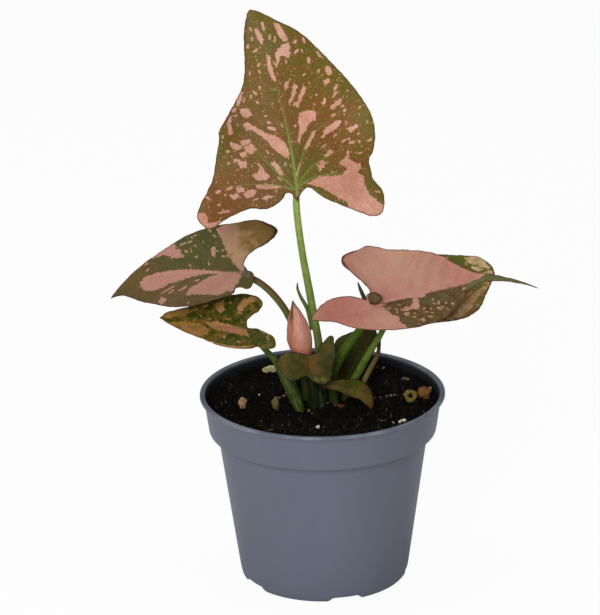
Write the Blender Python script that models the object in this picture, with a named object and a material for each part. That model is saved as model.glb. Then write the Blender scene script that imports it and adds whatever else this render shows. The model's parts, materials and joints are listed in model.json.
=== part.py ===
"""A young syngonium in a round nursery pot.

Metres, +Z up, standing on Z = 0. The pot, the potting soil, each leaf blade, each leaf
stalk, the furled new leaf, the withered strand and the larger bits on the soil are
separate closed solids. Lengths in the tables are millimetres, turned into metres by MM.
A blade is drawn flat, then folded, bent and set on its place; a stalk is a tapered tube
along its route.
"""
import math

import bmesh
import bpy
from mathutils import Matrix, Vector, noise
from mathutils.geometry import delaunay_2d_cdt

MM = 0.001

# The pot's axis, set so that the whole plant's bounding box is centred on the origin.
POT_AXIS_X = -2.1
SEAT_GAP = 0.35           # clearance that touching pieces keep
CHIP_GAP = 0.55           # clearance of a lump over the hollows of the soil

# Pot, a thin moulded wall with a small turned-out lip, a deep collar and a foot ring
POT_HEIGHT = 93.9
POT_WALL = 0.9
LIP_RADIUS = 59.8
LIP_INNER_RADIUS = 57.6
LIP_DEPTH = 1.25
COLLAR_TOP_RADIUS = 57.9
COLLAR_LOW_RADIUS = 55.6
COLLAR_LOW_Z = 75.4
BODY_TOP_RADIUS = 51.5
FOOT_RADIUS = 41.7
FOOT_Z = 4.6
FOOT_RING_OUTER = 40.4
FOOT_RING_INNER = 38.8
FLOOR_UNDERSIDE_Z = 2.4
FLOOR_THICKNESS = 1.2
POT_STEPS = 80
NOTCH_COUNT = 5
NOTCH_HALF_ANGLE = 9.0
NOTCH_RISE = 2.0
NOTCH_FIRST_ANGLE = -76.0
DRAIN_COUNT = 8
DRAIN_RADIUS = 3.5
DRAIN_CIRCLE = 27.0

# Potting soil, uneven, level round the crown of the plant and raised towards the wall
SOIL_Z = 86.3
SOIL_DISH = 3.2
SOIL_RELIEF = 0.9
SOIL_LUMP = 17.0
SOIL_CALM_RADIUS = 24.0
SOIL_RADIUS = 56.0
SOIL_RINGS = 10
SOIL_STEPS = 40

BLADE_THICKNESS = 0.8
CREASE_WIDTH = 2.0        # half width of the rounded fold along a midrib

# Each blade: where its stalk meets it, the bearing and rise of its midrib, its roll, the
# slope of its left and right half, its curl, its bend towards the tip and in the lobes,
# the sideways sweep of its midrib, and its swells (x, y, radius, height). The outlines
# run from the notch at the stalk to the tip, x across the blade and y along the midrib.
BLADES = {
    "tall_leaf_blade": {
        "joint": (-10.9, 2, 193.9), "bearing": 100, "rise": 66, "roll": 0,
        "slopes": (-0.14, -0.06), "bend": (-0.0004, 0.0), "sweep": -0.0020,
        "swells": [(-22, 74, 18, -9), (41, -7, 12, 4), (38, 13, 6, -3), (44, 36, 12, 3),
                   (33, 62, 12, -2), (-34, 31, 7, 3), (-45, -6, 14, 3)],
        "right": [(0, -1.5), (2, 1.5), (4.7, 3.5), (6.7, 3.4), (11.6, -1), (19.6, -5.4),
                  (29.3, -10), (34.3, -12.3), (38.3, -12.5), (40.9, -10), (41.9, -5.5),
                  (41.3, -0.3), (37.9, 5.7), (37.9, 10.1), (37.7, 15.5), (39.9, 18.6),
                  (42.4, 30.1), (41.5, 38.7), (38.1, 49.6), (32.7, 61.1), (26.3, 71.4),
                  (20.6, 79.4), (13.1, 84.9), (6, 89.8), (2.3, 91.4)],
        "left": [(0, -1.5), (-2.5, 1.4), (-5, 1.6), (-6.8, -1), (-9.8, -3.3), (-14.7, -5.3),
                 (-22.8, -4.6), (-29.1, -6.5), (-35.7, -9.4), (-42.4, -12.7), (-46.1, -10.9),
                 (-48.3, -7), (-46.5, -1.4), (-41.9, 6.1), (-38.7, 11.7), (-35.9, 20.6),
                 (-33, 30.1), (-32.6, 33.1), (-28.8, 37.8), (-19.3, 49.3), (-15.3, 54.3),
                 (-10.3, 64.8), (-6.3, 77.2), (-0.5, 88.8), (2.3, 91.4)],
        "step": 5.0, "colour": (0.17, 0.11, 0.035)},
    "upper_left_leaf_blade": {
        "joint": (-37.5, 4, 154.3), "bearing": 172, "rise": 0, "roll": 32,
        "slopes": (0.16, 0.16), "bend": (-0.0022, -0.002),
        "swells": [(24, -6, 12, 2), (-20, 22, 12, -1.5), (26, 26, 14, -1.5)],
        "right": [(2, -1.7), (5.1, 0), (9.3, -1.5), (12.5, -5), (16.4, -10.6), (20.5, -14),
                  (24.2, -14.5), (26.2, -10.6), (28.3, -3.6), (27.3, 5.7), (26.9, 13.7),
                  (25.4, 22), (21.8, 30.7), (16.4, 38.1), (6.4, 51.4), (-0.8, 58.2), (-9.3, 62.9),
                  (-12.6, 63.9)],
        "left": [(2, -1.7), (0.2, -4.8), (-3.7, -5.8), (-8.6, -5.5), (-11.1, -3.4), (-10.1, -0.3),
                 (-11, 2.2), (-13.7, 2.3), (-15.8, 4.7), (-19.9, 16), (-21.9, 25), (-22.3, 32.8),
                 (-18.3, 46.1), (-11.9, 58.2), (-12.6, 63.9)],
        "step": 4.2, "colour": (0.10, 0.12, 0.05)},
    "lower_left_leaf_blade": {
        "joint": (-36, -5, 129.3), "bearing": 176, "rise": 3, "roll": 30,
        "slopes": (0.10, 0.12), "bend": (-0.001, -0.004),
        "swells": [(-10, -8, 7, -2), (16, 2, 8, 2)],
        "right": [(0, -0.5), (3.4, 0.3), (6.5, -1.4), (9.9, -5), (13.7, -6.6), (16.2, -5.5),
                  (17.6, -2.4), (17.8, 8.8), (15.7, 19.3), (11.2, 29), (7.2, 40.1), (4.2, 42.7)],
        "left": [(0, -0.5), (0.2, -4.8), (-1.6, -8.8), (-3.8, -12.9), (-8.5, -14.7),
                 (-11.1, -13.7), (-11.4, -9), (-10.5, -5.7), (-12.8, -3), (-14.2, 3.6),
                 (-12.9, 11.4), (-9.3, 19.4), (-4.2, 30), (0.5, 37.4), (4.2, 42.7)],
        "step": 3.6, "colour": (0.10, 0.12, 0.02)},
    "right_leaf_blade": {
        "joint": (28.2, -4, 140.8), "bearing": 13, "rise": 8, "roll": -34,
        "slopes": (0.14, 0.14), "bend": (-0.0007, 0.008),
        "swells": [(-26, 16, 14, 2), (18, 30, 12, -1.5)],
        "right": [(-3, -6), (-4, -8), (-5.8, -12.4), (-6.2, -15.8), (-5.5, -22), (-3.2, -26.8),
                  (0.6, -31.3), (8.4, -36.6), (9.1, -33.8), (9.5, -25.4), (13.9, -16.7),
                  (17.2, -5.1), (19.3, 4.1), (20.1, 13.9), (17.7, 26.2), (14.9, 31.7),
                  (8.4, 39.8), (3.7, 44.4), (1, 50.1), (0.8, 55.5), (2.8, 62.5), (7.9, 72.5),
                  (11.5, 77.5)],
        "left": [(-3, -6), (-5.6, -4.9), (-6.7, -3), (-10.5, -4), (-19.4, -9.4), (-23, -11.8),
                 (-26.4, -11.9), (-28.8, -9.2), (-30.1, -1.2), (-30.5, 2.9), (-25.4, 12.5),
                 (-23.7, 19.6), (-19.2, 34.1), (-8.3, 46), (-5.3, 51.1), (-2.9, 56.6),
                 (-0.3, 63.4), (4, 69.7), (11.5, 77.5)],
        "step": 4.2, "colour": (0.42, 0.20, 0.16)},
    "rear_right_leaf_blade": {
        "joint": (38.3, 9, 134.8), "bearing": 30, "rise": 3, "roll": -33,
        "slopes": (0.08, 0.08), "bend": (-0.0012, 0.002),
        "swells": [],
        "right": [(0, -1), (3.6, -3), (8.1, -7.1), (12.2, -6.6), (14.7, -1.1), (15.9, 8.9),
                  (17.1, 18), (17.6, 25), (16.6, 32.2), (13.4, 39), (6.3, 47), (1.8, 52.3),
                  (-4.5, 59.2)],
        "left": [(0, -1), (-3.5, -2), (-8, -6), (-13.1, -5.9), (-17.2, -0.9), (-20.2, 9.2),
                 (-22.3, 22.3), (-22.2, 33.5), (-19.1, 46.6), (-16.2, 56), (-12.7, 59),
                 (-8.7, 60.2), (-4.5, 59.2)],
        "step": 4.2, "colour": (0.20, 0.15, 0.07)},
    "low_front_leaf_blade": {
        "joint": (-6.8, -5, 114.4), "bearing": -78, "rise": -46, "roll": 10,
        "slopes": (0.8, -0.1), "curl": (0.0, -0.008),
        "swells": [(-10, -4, 6, 1.5)],
        "right": [(0, -0.5), (3.8, -1.5), (7, -2.7), (10.3, -2.6), (13.3, -1.4), (15.6, 1.3),
                  (15.5, 4), (13.4, 8.6), (10.7, 12.1), (6.9, 12.1), (4.7, 10.8), (2.3, 11),
                  (0.5, 12.1), (-1.6, 14.5), (-4.7, 16.4)],
        "left": [(0, -0.5), (-3.6, -1.1), (-6.4, -4.6), (-10.3, -6.8), (-11.1, -3.7),
                 (-11.5, 0.8), (-9.5, 7.7), (-7.7, 14.3), (-4.7, 16.4)],
        "step": 2.6, "colour": (0.13, 0.11, 0.02)},
    "drooping_leaf_blade": {
        "joint": (0.3, -8, 99.3), "bearing": -7.4, "rise": -1.6, "roll": -48,
        "slopes": (-0.1, -0.1), "bend": (-0.016, 0.0),
        "swells": [],
        "right": [(0, -0.5), (1.2, 3.5), (1.6, 8.3), (3.2, 13.2), (3.6, 18), (5.3, 20.9),
                  (7, 23.4)],
        "left": [(0, -0.5), (-2.2, 1.3), (-3.9, 3), (-5.5, 10), (-6.4, 16.2), (-5.4, 20),
                 (-2.5, 22.6), (2.7, 24.5), (5.8, 24.2), (7, 23.4)],
        "step": 2.6, "colour": (0.14, 0.12, 0.04)},
    "upright_back_leaf_blade": {
        "joint": (11.3, 14, 93), "bearing": 12.6, "rise": 64.4, "roll": -66,
        "slopes": (0.3, 0.2), "swells": [],
        "right": [(0, -6.4), (2, -5.8), (4.4, 4), (4.9, 14.7), (5.1, 23.3), (4.3, 29.1),
                  (0.1, 31.9)],
        "left": [(0, -6.4), (-2.4, -5.8), (-6, 0), (-8.9, 5.5), (-11.9, 12.6), (-12.6, 17.3),
                 (-10.9, 21.1), (-8, 24.1), (-3.6, 28.4), (0.1, 31.9)],
        "step": 3.4, "colour": (0.06, 0.07, 0.015)},
}

# Each stalk: its route from the soil up and the radius at each point of the route. One
# that carries a blade gets its last two points from that blade's underside.
STALKS = {
    "tall_leaf_stalk": {
        "blade": "tall_leaf_blade",
        "route": [(0.3, 5.2, 0), (-0.3, 4.6, 95.4), (-0.5, 4.2, 102.3), (-1.6, 4, 118.6),
                  (-2.4, 4, 124.3), (-3.9, 4, 133.7), (-5.5, 3.7, 144.1), (-8.5, 3.1, 162.8),
                  (-10.6, 2.7, 180)],
        "radii": [2.8, 2.3, 2.1, 2.0, 1.95, 1.95, 1.9, 1.75, 1.7, 1.7, 1.3],
        "sheath": [(-4.4, 3.8, 125), (-5.7, 3.2, 132.2), (-6.7, 2.9, 136), (-8, 2.6, 138.7),
                   (-9.5, 2.3, 141.6), (-10.6, 2, 144.3), (-11.4, 1.8, 147), (-11.3, 1.6, 149.6)],
        "sheath_radii": [1.2, 1.2, 1.1, 1.0, 0.9, 0.75, 0.65, 0.3],
        "colour": (0.26, 0.36, 0.11)},
    "upper_left_leaf_stalk": {
        "blade": "upper_left_leaf_blade",
        "route": [(-7, 9.4, 0), (-7.9, 9, 93.7), (-9.7, 8.5, 107.1), (-11.5, 8, 117.8),
                  (-13.6, 7.4, 125.3), (-17.8, 6.4, 134.8), (-23.5, 5.6, 143),
                  (-29.2, 4.8, 148.7)],
        "radii": [2.6, 2.3, 2.0, 1.9, 1.85, 1.8, 1.8, 1.85, 1.7, 1.3],
        "colour": (0.22, 0.26, 0.07)},
    "lower_left_leaf_stalk": {
        "blade": "lower_left_leaf_blade",
        "route": [(-9.9, -5.6, 0), (-12.9, -5.5, 92.2), (-17.1, -5.3, 102),
                  (-22.3, -5.2, 112), (-26.9, -5.1, 117.5), (-30.3, -5.1, 121.8)],
        "radii": [1.9, 3.2, 3.0, 1.7, 1.45, 1.35, 1.3, 1.0],
        "colour": (0.17, 0.28, 0.06)},
    "right_leaf_stalk": {
        "blade": "right_leaf_blade",
        "route": [(6.2, 2.9, 0), (5.2, 2.2, 93.7), (5.5, 1, 102.4), (8.7, 0, 111.1),
                  (13.7, -2, 120.1), (18.6, -3.5, 127.2), (21.3, -4, 132.1)],
        "radii": [2.5, 2.2, 1.9, 1.7, 1.65, 1.6, 1.5, 1.4, 1.2],
        "sheath": [(20.6, -3.6, 131.1), (21, -2.2, 137.1), (20.4, -1.2, 142.1),
                   (19, -1, 147.1), (17.8, -1.2, 150.9)],
        "sheath_radii": [0.9, 0.85, 0.8, 0.7, 0.35],
        "colour": (0.20, 0.32, 0.08)},
    "rear_right_leaf_stalk": {
        "blade": "rear_right_leaf_blade",
        "route": [(10.6, 9, 0), (12.6, 9.6, 91.6), (16.6, 10, 97.5), (21.6, 10, 107.1),
                  (26.1, 10, 114.8), (30, 9.5, 121.8)],
        "radii": [2.0, 1.9, 1.7, 1.5, 1.4, 1.4, 1.3, 1.1],
        "colour": (0.22, 0.34, 0.08)},
    "low_front_leaf_stalk": {
        "blade": "low_front_leaf_blade",
        "route": [(-3.1, -5.6, 0), (-3.6, -5.2, 93.4), (-5.5, -5.2, 102.3)],
        "radii": [1.9, 1.7, 1.3, 1.1, 0.8], "approach": -0.5,
        "colour": (0.10, 0.13, 0.03)},
    "drooping_leaf_stalk": {
        "blade": "drooping_leaf_blade",
        "route": [(0.2, -7.8, 0), (-0.2, -7, 91.3), (-1.1, -6.2, 95.3)],
        "radii": [1.4, 1.2, 1.0, 0.8, 0.6], "approach": 1.5,
        "colour": (0.12, 0.14, 0.04)},
    "furled_leaf_stalk": {
        "route": [(-5.8, 1.6, 0), (-6, 1.5, 93.5), (-6.6, 1.3, 103.4), (-7.5, 1.2, 108.2)],
        "radii": [1.7, 1.6, 1.4, 1.1],
        "colour": (0.14, 0.18, 0.04)},
    "withered_strand": {
        "route": [(17.3, 13, 0), (19.4, 12.6, 91.3), (22.1, 12.4, 97.2), (24.8, 12.2, 102.7),
                  (27.5, 12.6, 108), (28.2, 13, 113.4), (28.7, 13, 117)],
        "radii": [1.1, 1.3, 1.35, 1.3, 1.1, 0.85, 0.4],
        "colour": (0.20, 0.14, 0.08)},
}

# The furled new leaf, a rolled spindle: its axis from base to tip, and at each point the
# half width across the view and the half width along it
FURLED_AXIS = [(-7.7, 1.2, 109.2), (-8.3, 1.2, 111.5), (-9.7, 1.2, 115.1), (-10.6, 1.2, 120.4),
               (-11, 1.2, 125.5), (-11.8, 1.2, 130.7), (-12.7, 1.3, 135.9), (-13.3, 1.5, 138.4),
               (-13.8, 1.6, 140.5)]
FURLED_RADII = [(1.3, 1.2), (2.8, 2.0), (5.2, 3.0), (6.1, 3.2), (5.7, 3.2), (4.5, 2.8),
                (2.4, 1.8), (1.1, 1.0), (0.3, 0.3)]

# Bits of bark and fibre on the soil: centre, the three half sizes, turn, noise seed
CHIPS = {
    "pale_bark_chip": {"at": (-25.3, 41.2), "half": (3.3, 1.4, 2.3), "turn": 12, "seed": 1},
    "tan_bark_chip": {"at": (-39.0, -1.8), "half": (2.2, 1.6, 3.0), "turn": 40, "seed": 2},
    "olive_bark_lump": {"at": (-22.7, -3.6), "half": (2.3, 1.8, 3.7), "turn": 70, "seed": 3},
    "brown_bark_lump": {"at": (49.9, 4.9), "half": (3.1, 2.8, 3.3), "turn": 10, "seed": 4},
    "orange_fibre_chip": {"at": (8.5, -4.2), "half": (2.6, 1.3, 1.4), "turn": -15, "seed": 5},
}
# A curled ring of bark, tipped up to one side
RING_CHIP = {"at": (43.1, 1.6), "ring_radius": 1.9, "tube_radius": 1.3, "tilt": 48}


def mm(point):
    """A point in millimetres about the pot's axis, as metres about the origin."""
    return Vector(((point[0] + POT_AXIS_X) * MM, point[1] * MM, point[2] * MM))


def reset_scene():
    """Remove the scene's objects."""
    for scene_object in list(bpy.data.objects):
        bpy.data.objects.remove(scene_object, do_unlink=True)


def plain_material(name, colour, roughness):
    """A Principled material of one colour."""
    material = bpy.data.materials.new(name)
    material.use_nodes = True
    shader = material.node_tree.nodes["Principled BSDF"]
    shader.inputs["Base Color"].default_value = (*colour, 1.0)
    shader.inputs["Roughness"].default_value = roughness
    shader.inputs["Metallic"].default_value = 0.0
    return material


def add_object(name, mesh_data, colour=None, roughness=0.5):
    """Turn a bmesh into a named object with outward faces and its own material."""
    bmesh.ops.recalc_face_normals(mesh_data, faces=mesh_data.faces)
    mesh = bpy.data.meshes.new(name)
    mesh_data.to_mesh(mesh)
    mesh_data.free()
    new_object = bpy.data.objects.new(name, mesh)
    bpy.context.scene.collection.objects.link(new_object)
    if colour is not None:
        mesh.materials.append(plain_material(name, colour, roughness))
    return new_object


def helper(new_object):
    """Mark an object as a tool of a Boolean, not a piece."""
    new_object.hide_render = True
    new_object.display_type = "WIRE"
    return new_object


def add_boolean(target, tool, operation):
    """Cut a tool from a target, or join it on."""
    modifier = target.modifiers.new(tool.name, "BOOLEAN")
    modifier.operation = operation
    modifier.solver = "EXACT"
    modifier.object = helper(tool)


def smooth_run(points, step):
    """Points about step apart along a smooth curve through the given points."""
    points = [Vector(p) for p in points]
    run = []
    for i in range(len(points) - 1):
        start, end = points[i], points[i + 1]
        before = points[i - 1] if i > 0 else start * 2.0 - end
        after = points[i + 2] if i + 2 < len(points) else end * 2.0 - start
        length = (end - start).length
        tangent_a = (end - before) * (length / max((end - before).length, 1e-9))
        tangent_b = (after - start) * (length / max((after - start).length, 1e-9))
        count = max(1, round(length / step))
        for k in range(count):
            t = k / count
            run.append(start * (2 * t**3 - 3 * t**2 + 1) + tangent_a * (t**3 - 2 * t**2 + t)
                       + end * (3 * t**2 - 2 * t**3) + tangent_b * (t**3 - t**2))
    run.append(points[-1])
    return run


# ---- leaf blades ----

def blade_axes(blade):
    """The blade's directions: across to its right, along to its tip, and up from its face."""
    bearing = math.radians(blade["bearing"])
    rise = math.radians(blade["rise"])
    along = Vector((math.cos(rise) * math.cos(bearing), math.cos(rise) * math.sin(bearing),
                    math.sin(rise)))
    across = Vector((math.sin(bearing), -math.cos(bearing), 0.0))
    turn = Matrix.Rotation(-math.radians(blade["roll"]), 3, along)
    across = turn @ across
    return across, along, across.cross(along)


def blade_height(blade, x, y):
    """How far the blade's face stands above its plane, in millimetres."""
    side = 0 if x < 0 else 1
    slope = blade["slopes"][side]
    curl = blade.get("curl", (0.0, 0.0))[side]
    tip_bend, lobe_bend = blade.get("bend", (0.0, 0.0))
    bend = tip_bend if y > 0 else lobe_bend
    crease = math.sqrt(x * x + CREASE_WIDTH**2) - CREASE_WIDTH
    height = slope * crease + curl * x * x + bend * y * y
    for swell_x, swell_y, radius, rise in blade["swells"]:
        distance = ((x - swell_x)**2 + (y - swell_y)**2) / radius**2
        height += rise * math.exp(-distance)
    return height


def blade_point(blade, x, y, lift=0.0):
    """A point of the blade's middle surface, lifted along the blade's normal."""
    across, along, normal = blade_axes(blade)
    sweep = blade.get("sweep", 0.0) * y * y if y > 0 else 0.0
    local = across * (x + sweep) + along * y + normal * (blade_height(blade, x, y) + lift)
    return mm(Vector(blade["joint"]) + local)


def inside(outline, x, y):
    """Whether a flat point lies inside a closed outline."""
    hit = False
    for a, b in zip(outline, outline[1:] + outline[:1]):
        if (a.y > y) != (b.y > y) and x < a.x + (y - a.y) * (b.x - a.x) / (b.y - a.y):
            hit = not hit
    return hit


def blade_grid(outline, step):
    """Inner points of a blade, in a triangular grid clear of its margin."""
    grid = []
    rows = int(200 / step)
    for row in range(-rows, rows):
        y = row * step * math.sqrt(0.75)
        for column in range(-rows, rows):
            x = (column + 0.5 * (row % 2)) * step
            near = min((Vector((x, y)) - p).length for p in outline)
            if near > 0.55 * step and inside(outline, x, y):
                grid.append(Vector((x, y)))
    return grid


def make_blade(name, blade):
    """A closed, thin leaf blade from its flat outline."""
    step = blade["step"]
    right = smooth_run(blade["right"], step * 0.8)
    left = smooth_run(blade["left"], step * 0.8)
    outline = right + left[1:-1][::-1]
    flat = outline + blade_grid(outline, step)
    loop = list(range(len(outline)))
    edges = [(i, (i + 1) % len(outline)) for i in loop]
    points, _, faces, *_ = delaunay_2d_cdt(flat, edges, [loop], 1, 1e-6)
    half = 0.5 * BLADE_THICKNESS
    mesh = bmesh.new()
    upper = [mesh.verts.new(blade_point(blade, p.x, p.y, half)) for p in points]
    lower = [mesh.verts.new(blade_point(blade, p.x, p.y, -half)) for p in points]
    sides = {}
    for face in faces:
        mesh.faces.new([upper[i] for i in face])
        mesh.faces.new([lower[i] for i in reversed(face)])
        for a, b in zip(face, face[1:] + face[:1]):
            sides[(a, b)] = (b, a) not in sides
            if (b, a) in sides:
                sides[(b, a)] = False
    for (a, b), open_side in sides.items():
        if open_side:
            mesh.faces.new([upper[b], upper[a], lower[a]])
            mesh.faces.new([upper[b], lower[a], lower[b]])
    return add_object(name, mesh, blade["colour"], 0.45)


# ---- stalks ----

def ring_frames(path):
    """A pair of cross directions for each point of a path, carried along without twist."""
    frames = []
    side = Vector((1.0, 0.0, 0.0))
    for i, point in enumerate(path):
        ahead = path[min(i + 1, len(path) - 1)]
        behind = path[max(i - 1, 0)]
        tangent = (ahead - behind).normalized()
        side = (side - tangent * side.dot(tangent)).normalized()
        frames.append((side.copy(), tangent.cross(side)))
    return frames


def add_rings(mesh, path, frames, radii, sides):
    """Join rings of points along a path into a closed tube."""
    rings = []
    for point, (first, second), (wide, deep) in zip(path, frames, radii):
        ring = []
        for k in range(sides):
            angle = 2 * math.pi * k / sides
            offset = first * (wide * math.cos(angle)) + second * (deep * math.sin(angle))
            ring.append(mesh.verts.new(mm(point + offset)))
        rings.append(ring)
    for lower, upper in zip(rings, rings[1:]):
        for k in range(sides):
            after = (k + 1) % sides
            mesh.faces.new([lower[k], lower[after], upper[after], upper[k]])
    mesh.faces.new(rings[0][::-1])
    mesh.faces.new(rings[-1])


def spread(values, routes, step):
    """Values at a route's points, spread over the points of its smooth run."""
    spread_out = []
    for i in range(len(routes) - 1):
        count = max(1, round((Vector(routes[i + 1]) - Vector(routes[i])).length / step))
        for k in range(count):
            share = k / count
            spread_out.append(values[i] * (1 - share) + values[i + 1] * share)
    spread_out.append(values[-1])
    return spread_out


def tube_mesh(route, radii, sides, step, level_base):
    """A closed tapered tube along a smooth route."""
    path = smooth_run(route, step)
    widths = [(r, r) for r in spread(radii, route, step)]
    frames = ring_frames(path)
    if level_base:
        frames[0] = (Vector((1.0, 0.0, 0.0)), Vector((0.0, 1.0, 0.0)))
    mesh = bmesh.new()
    add_rings(mesh, path, frames, widths, sides)
    return mesh


def under_blade(blade, radius, approach):
    """Where a stalk ends, close under the blade's midrib."""
    depth = 0.5 * BLADE_THICKNESS + SEAT_GAP
    across, along, normal = blade_axes(blade)
    joint = Vector(blade["joint"])
    start = joint + along * -approach + normal * -(depth + 1.6 * radius + 0.8)
    rib = blade_height(blade, 0.0, 3.0)
    end = joint + along * 3.0 + normal * (rib - depth - radius - 0.1)
    return [start, end]


def stand_on_soil(route):
    """Put a route's first point just above the soil."""
    x, y, _ = route[0]
    return [(x, y, soil_height(x, y) + SEAT_GAP)] + list(route[1:])


def make_stalk(name, stalk):
    """A stalk from the soil to its blade, with the free tip of its sheath if it has one."""
    route = stand_on_soil(stalk["route"])
    if "blade" in stalk:
        approach = stalk.get("approach", 4.0)
        route += under_blade(BLADES[stalk["blade"]], stalk["radii"][-1], approach)
    mesh = tube_mesh(route, stalk["radii"], 9, 6.0, True)
    stalk_object = add_object(name, mesh, stalk["colour"], 0.45)
    if "sheath" in stalk:
        tip = tube_mesh(stalk["sheath"], stalk["sheath_radii"], 7, 4.0, False)
        add_boolean(stalk_object, add_object(name + "_sheath_tip", tip), "UNION")
    return stalk_object


def make_furled_leaf():
    """The rolled new leaf, an oval spindle drawn out to a point."""
    step = 4.0
    path = smooth_run(FURLED_AXIS, step)
    wide = spread([r[0] for r in FURLED_RADII], FURLED_AXIS, step)
    deep = spread([r[1] for r in FURLED_RADII], FURLED_AXIS, step)
    mesh = bmesh.new()
    add_rings(mesh, path, ring_frames(path), list(zip(wide, deep)), 16)
    return add_object("furled_leaf", mesh, (0.45, 0.20, 0.14), 0.5)


# ---- pot and soil ----

def outer_wall():
    """Radius and height down the outside of the pot, from the lip to the foot."""
    lip_low = POT_HEIGHT - LIP_DEPTH
    return [(LIP_RADIUS - 0.35, POT_HEIGHT), (LIP_RADIUS, POT_HEIGHT - 0.35),
            (LIP_RADIUS, lip_low + 0.25), (LIP_RADIUS - 0.25, lip_low),
            (COLLAR_TOP_RADIUS, lip_low - 0.2), (COLLAR_LOW_RADIUS, COLLAR_LOW_Z + 1.0),
            (COLLAR_LOW_RADIUS - 0.3, COLLAR_LOW_Z + 0.3), (COLLAR_LOW_RADIUS - 1, COLLAR_LOW_Z),
            (BODY_TOP_RADIUS, COLLAR_LOW_Z - 0.2), (FOOT_RADIUS, FOOT_Z),
            (FOOT_RADIUS - 0.25, 2.6), (FOOT_RING_OUTER + 0.4, 0.6)]


def inner_wall():
    """Radius and height up the inside of the pot, from its floor to the lip."""
    ledge = COLLAR_LOW_Z + POT_WALL
    return [(FOOT_RADIUS - POT_WALL - 1.2, FLOOR_UNDERSIDE_Z + FLOOR_THICKNESS),
            (FOOT_RADIUS - POT_WALL, FOOT_Z + 0.8), (BODY_TOP_RADIUS - POT_WALL, ledge - 0.6),
            (BODY_TOP_RADIUS - POT_WALL + 0.5, ledge),
            (COLLAR_LOW_RADIUS - POT_WALL - 0.6, ledge + 0.2),
            (COLLAR_LOW_RADIUS - POT_WALL, ledge + 1.0),
            (COLLAR_TOP_RADIUS - POT_WALL, POT_HEIGHT - LIP_DEPTH),
            (LIP_INNER_RADIUS - 0.2, POT_HEIGHT - 0.35), (LIP_INNER_RADIUS, POT_HEIGHT)]


def notch_lift(angle):
    """How far a notch lifts the foot ring at an angle, in millimetres."""
    pitch = 360.0 / NOTCH_COUNT
    offset = (math.degrees(angle) - NOTCH_FIRST_ANGLE + pitch / 2) % pitch - pitch / 2
    return NOTCH_RISE if abs(offset) < NOTCH_HALF_ANGLE else 0.0


def revolve(profile, steps, lift=None):
    """A closed solid turned from a profile that starts and ends on the axis."""
    mesh = bmesh.new()
    rings = []
    start = math.radians(NOTCH_FIRST_ANGLE + 180.0 / steps)
    for radius, height in profile[1:-1]:
        ring = []
        for k in range(steps):
            angle = start + 2 * math.pi * k / steps
            z = max(height, lift(angle)) if lift and height < NOTCH_RISE else height
            ring.append(mesh.verts.new(mm((radius * math.cos(angle),
                                           radius * math.sin(angle), z))))
        rings.append(ring)
    first = mesh.verts.new(mm((0, 0, profile[0][1])))
    last = mesh.verts.new(mm((0, 0, profile[-1][1])))
    for k in range(steps):
        after = (k + 1) % steps
        for lower, upper in zip(rings, rings[1:]):
            mesh.faces.new([lower[k], lower[after], upper[after], upper[k]])
        mesh.faces.new([first, rings[0][after], rings[0][k]])
        mesh.faces.new([last, rings[-1][k], rings[-1][after]])
    return mesh


def make_pot():
    """The nursery pot: one thin moulded shell with a notched foot ring and drain holes."""
    floor_top = FLOOR_UNDERSIDE_Z + FLOOR_THICKNESS
    profile = ([(0, floor_top)] + inner_wall() + outer_wall()
               + [(FOOT_RING_OUTER, 0.0), (FOOT_RING_INNER, 0.0),
                  (FOOT_RING_INNER - 0.4, FLOOR_UNDERSIDE_Z), (0, FLOOR_UNDERSIDE_Z)])
    pot = add_object("pot", revolve(profile, POT_STEPS, notch_lift), (0.19, 0.20, 0.23), 0.45)
    drills = bmesh.new()
    for k in range(DRAIN_COUNT):
        angle = 2 * math.pi * (k + 0.5) / DRAIN_COUNT
        place = mm((DRAIN_CIRCLE * math.cos(angle), DRAIN_CIRCLE * math.sin(angle),
                    FLOOR_UNDERSIDE_Z))
        bmesh.ops.create_cone(drills, cap_ends=True, segments=16, radius1=DRAIN_RADIUS * MM,
                              radius2=DRAIN_RADIUS * MM, depth=6 * MM,
                              matrix=Matrix.Translation(place))
    add_boolean(pot, add_object("drain_drills", drills), "DIFFERENCE")
    return pot


def soil_height(x, y):
    """Height of the soil's surface at a place, in millimetres."""
    distance = math.hypot(x, y)
    calm = min(1.0, max(0.0, distance / SOIL_CALM_RADIUS - 0.6))
    lump = noise.noise(Vector((x / SOIL_LUMP, y / SOIL_LUMP, 0.37)))
    return SOIL_Z + SOIL_DISH * (distance / SOIL_RADIUS)**4 + SOIL_RELIEF * calm * lump


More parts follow.
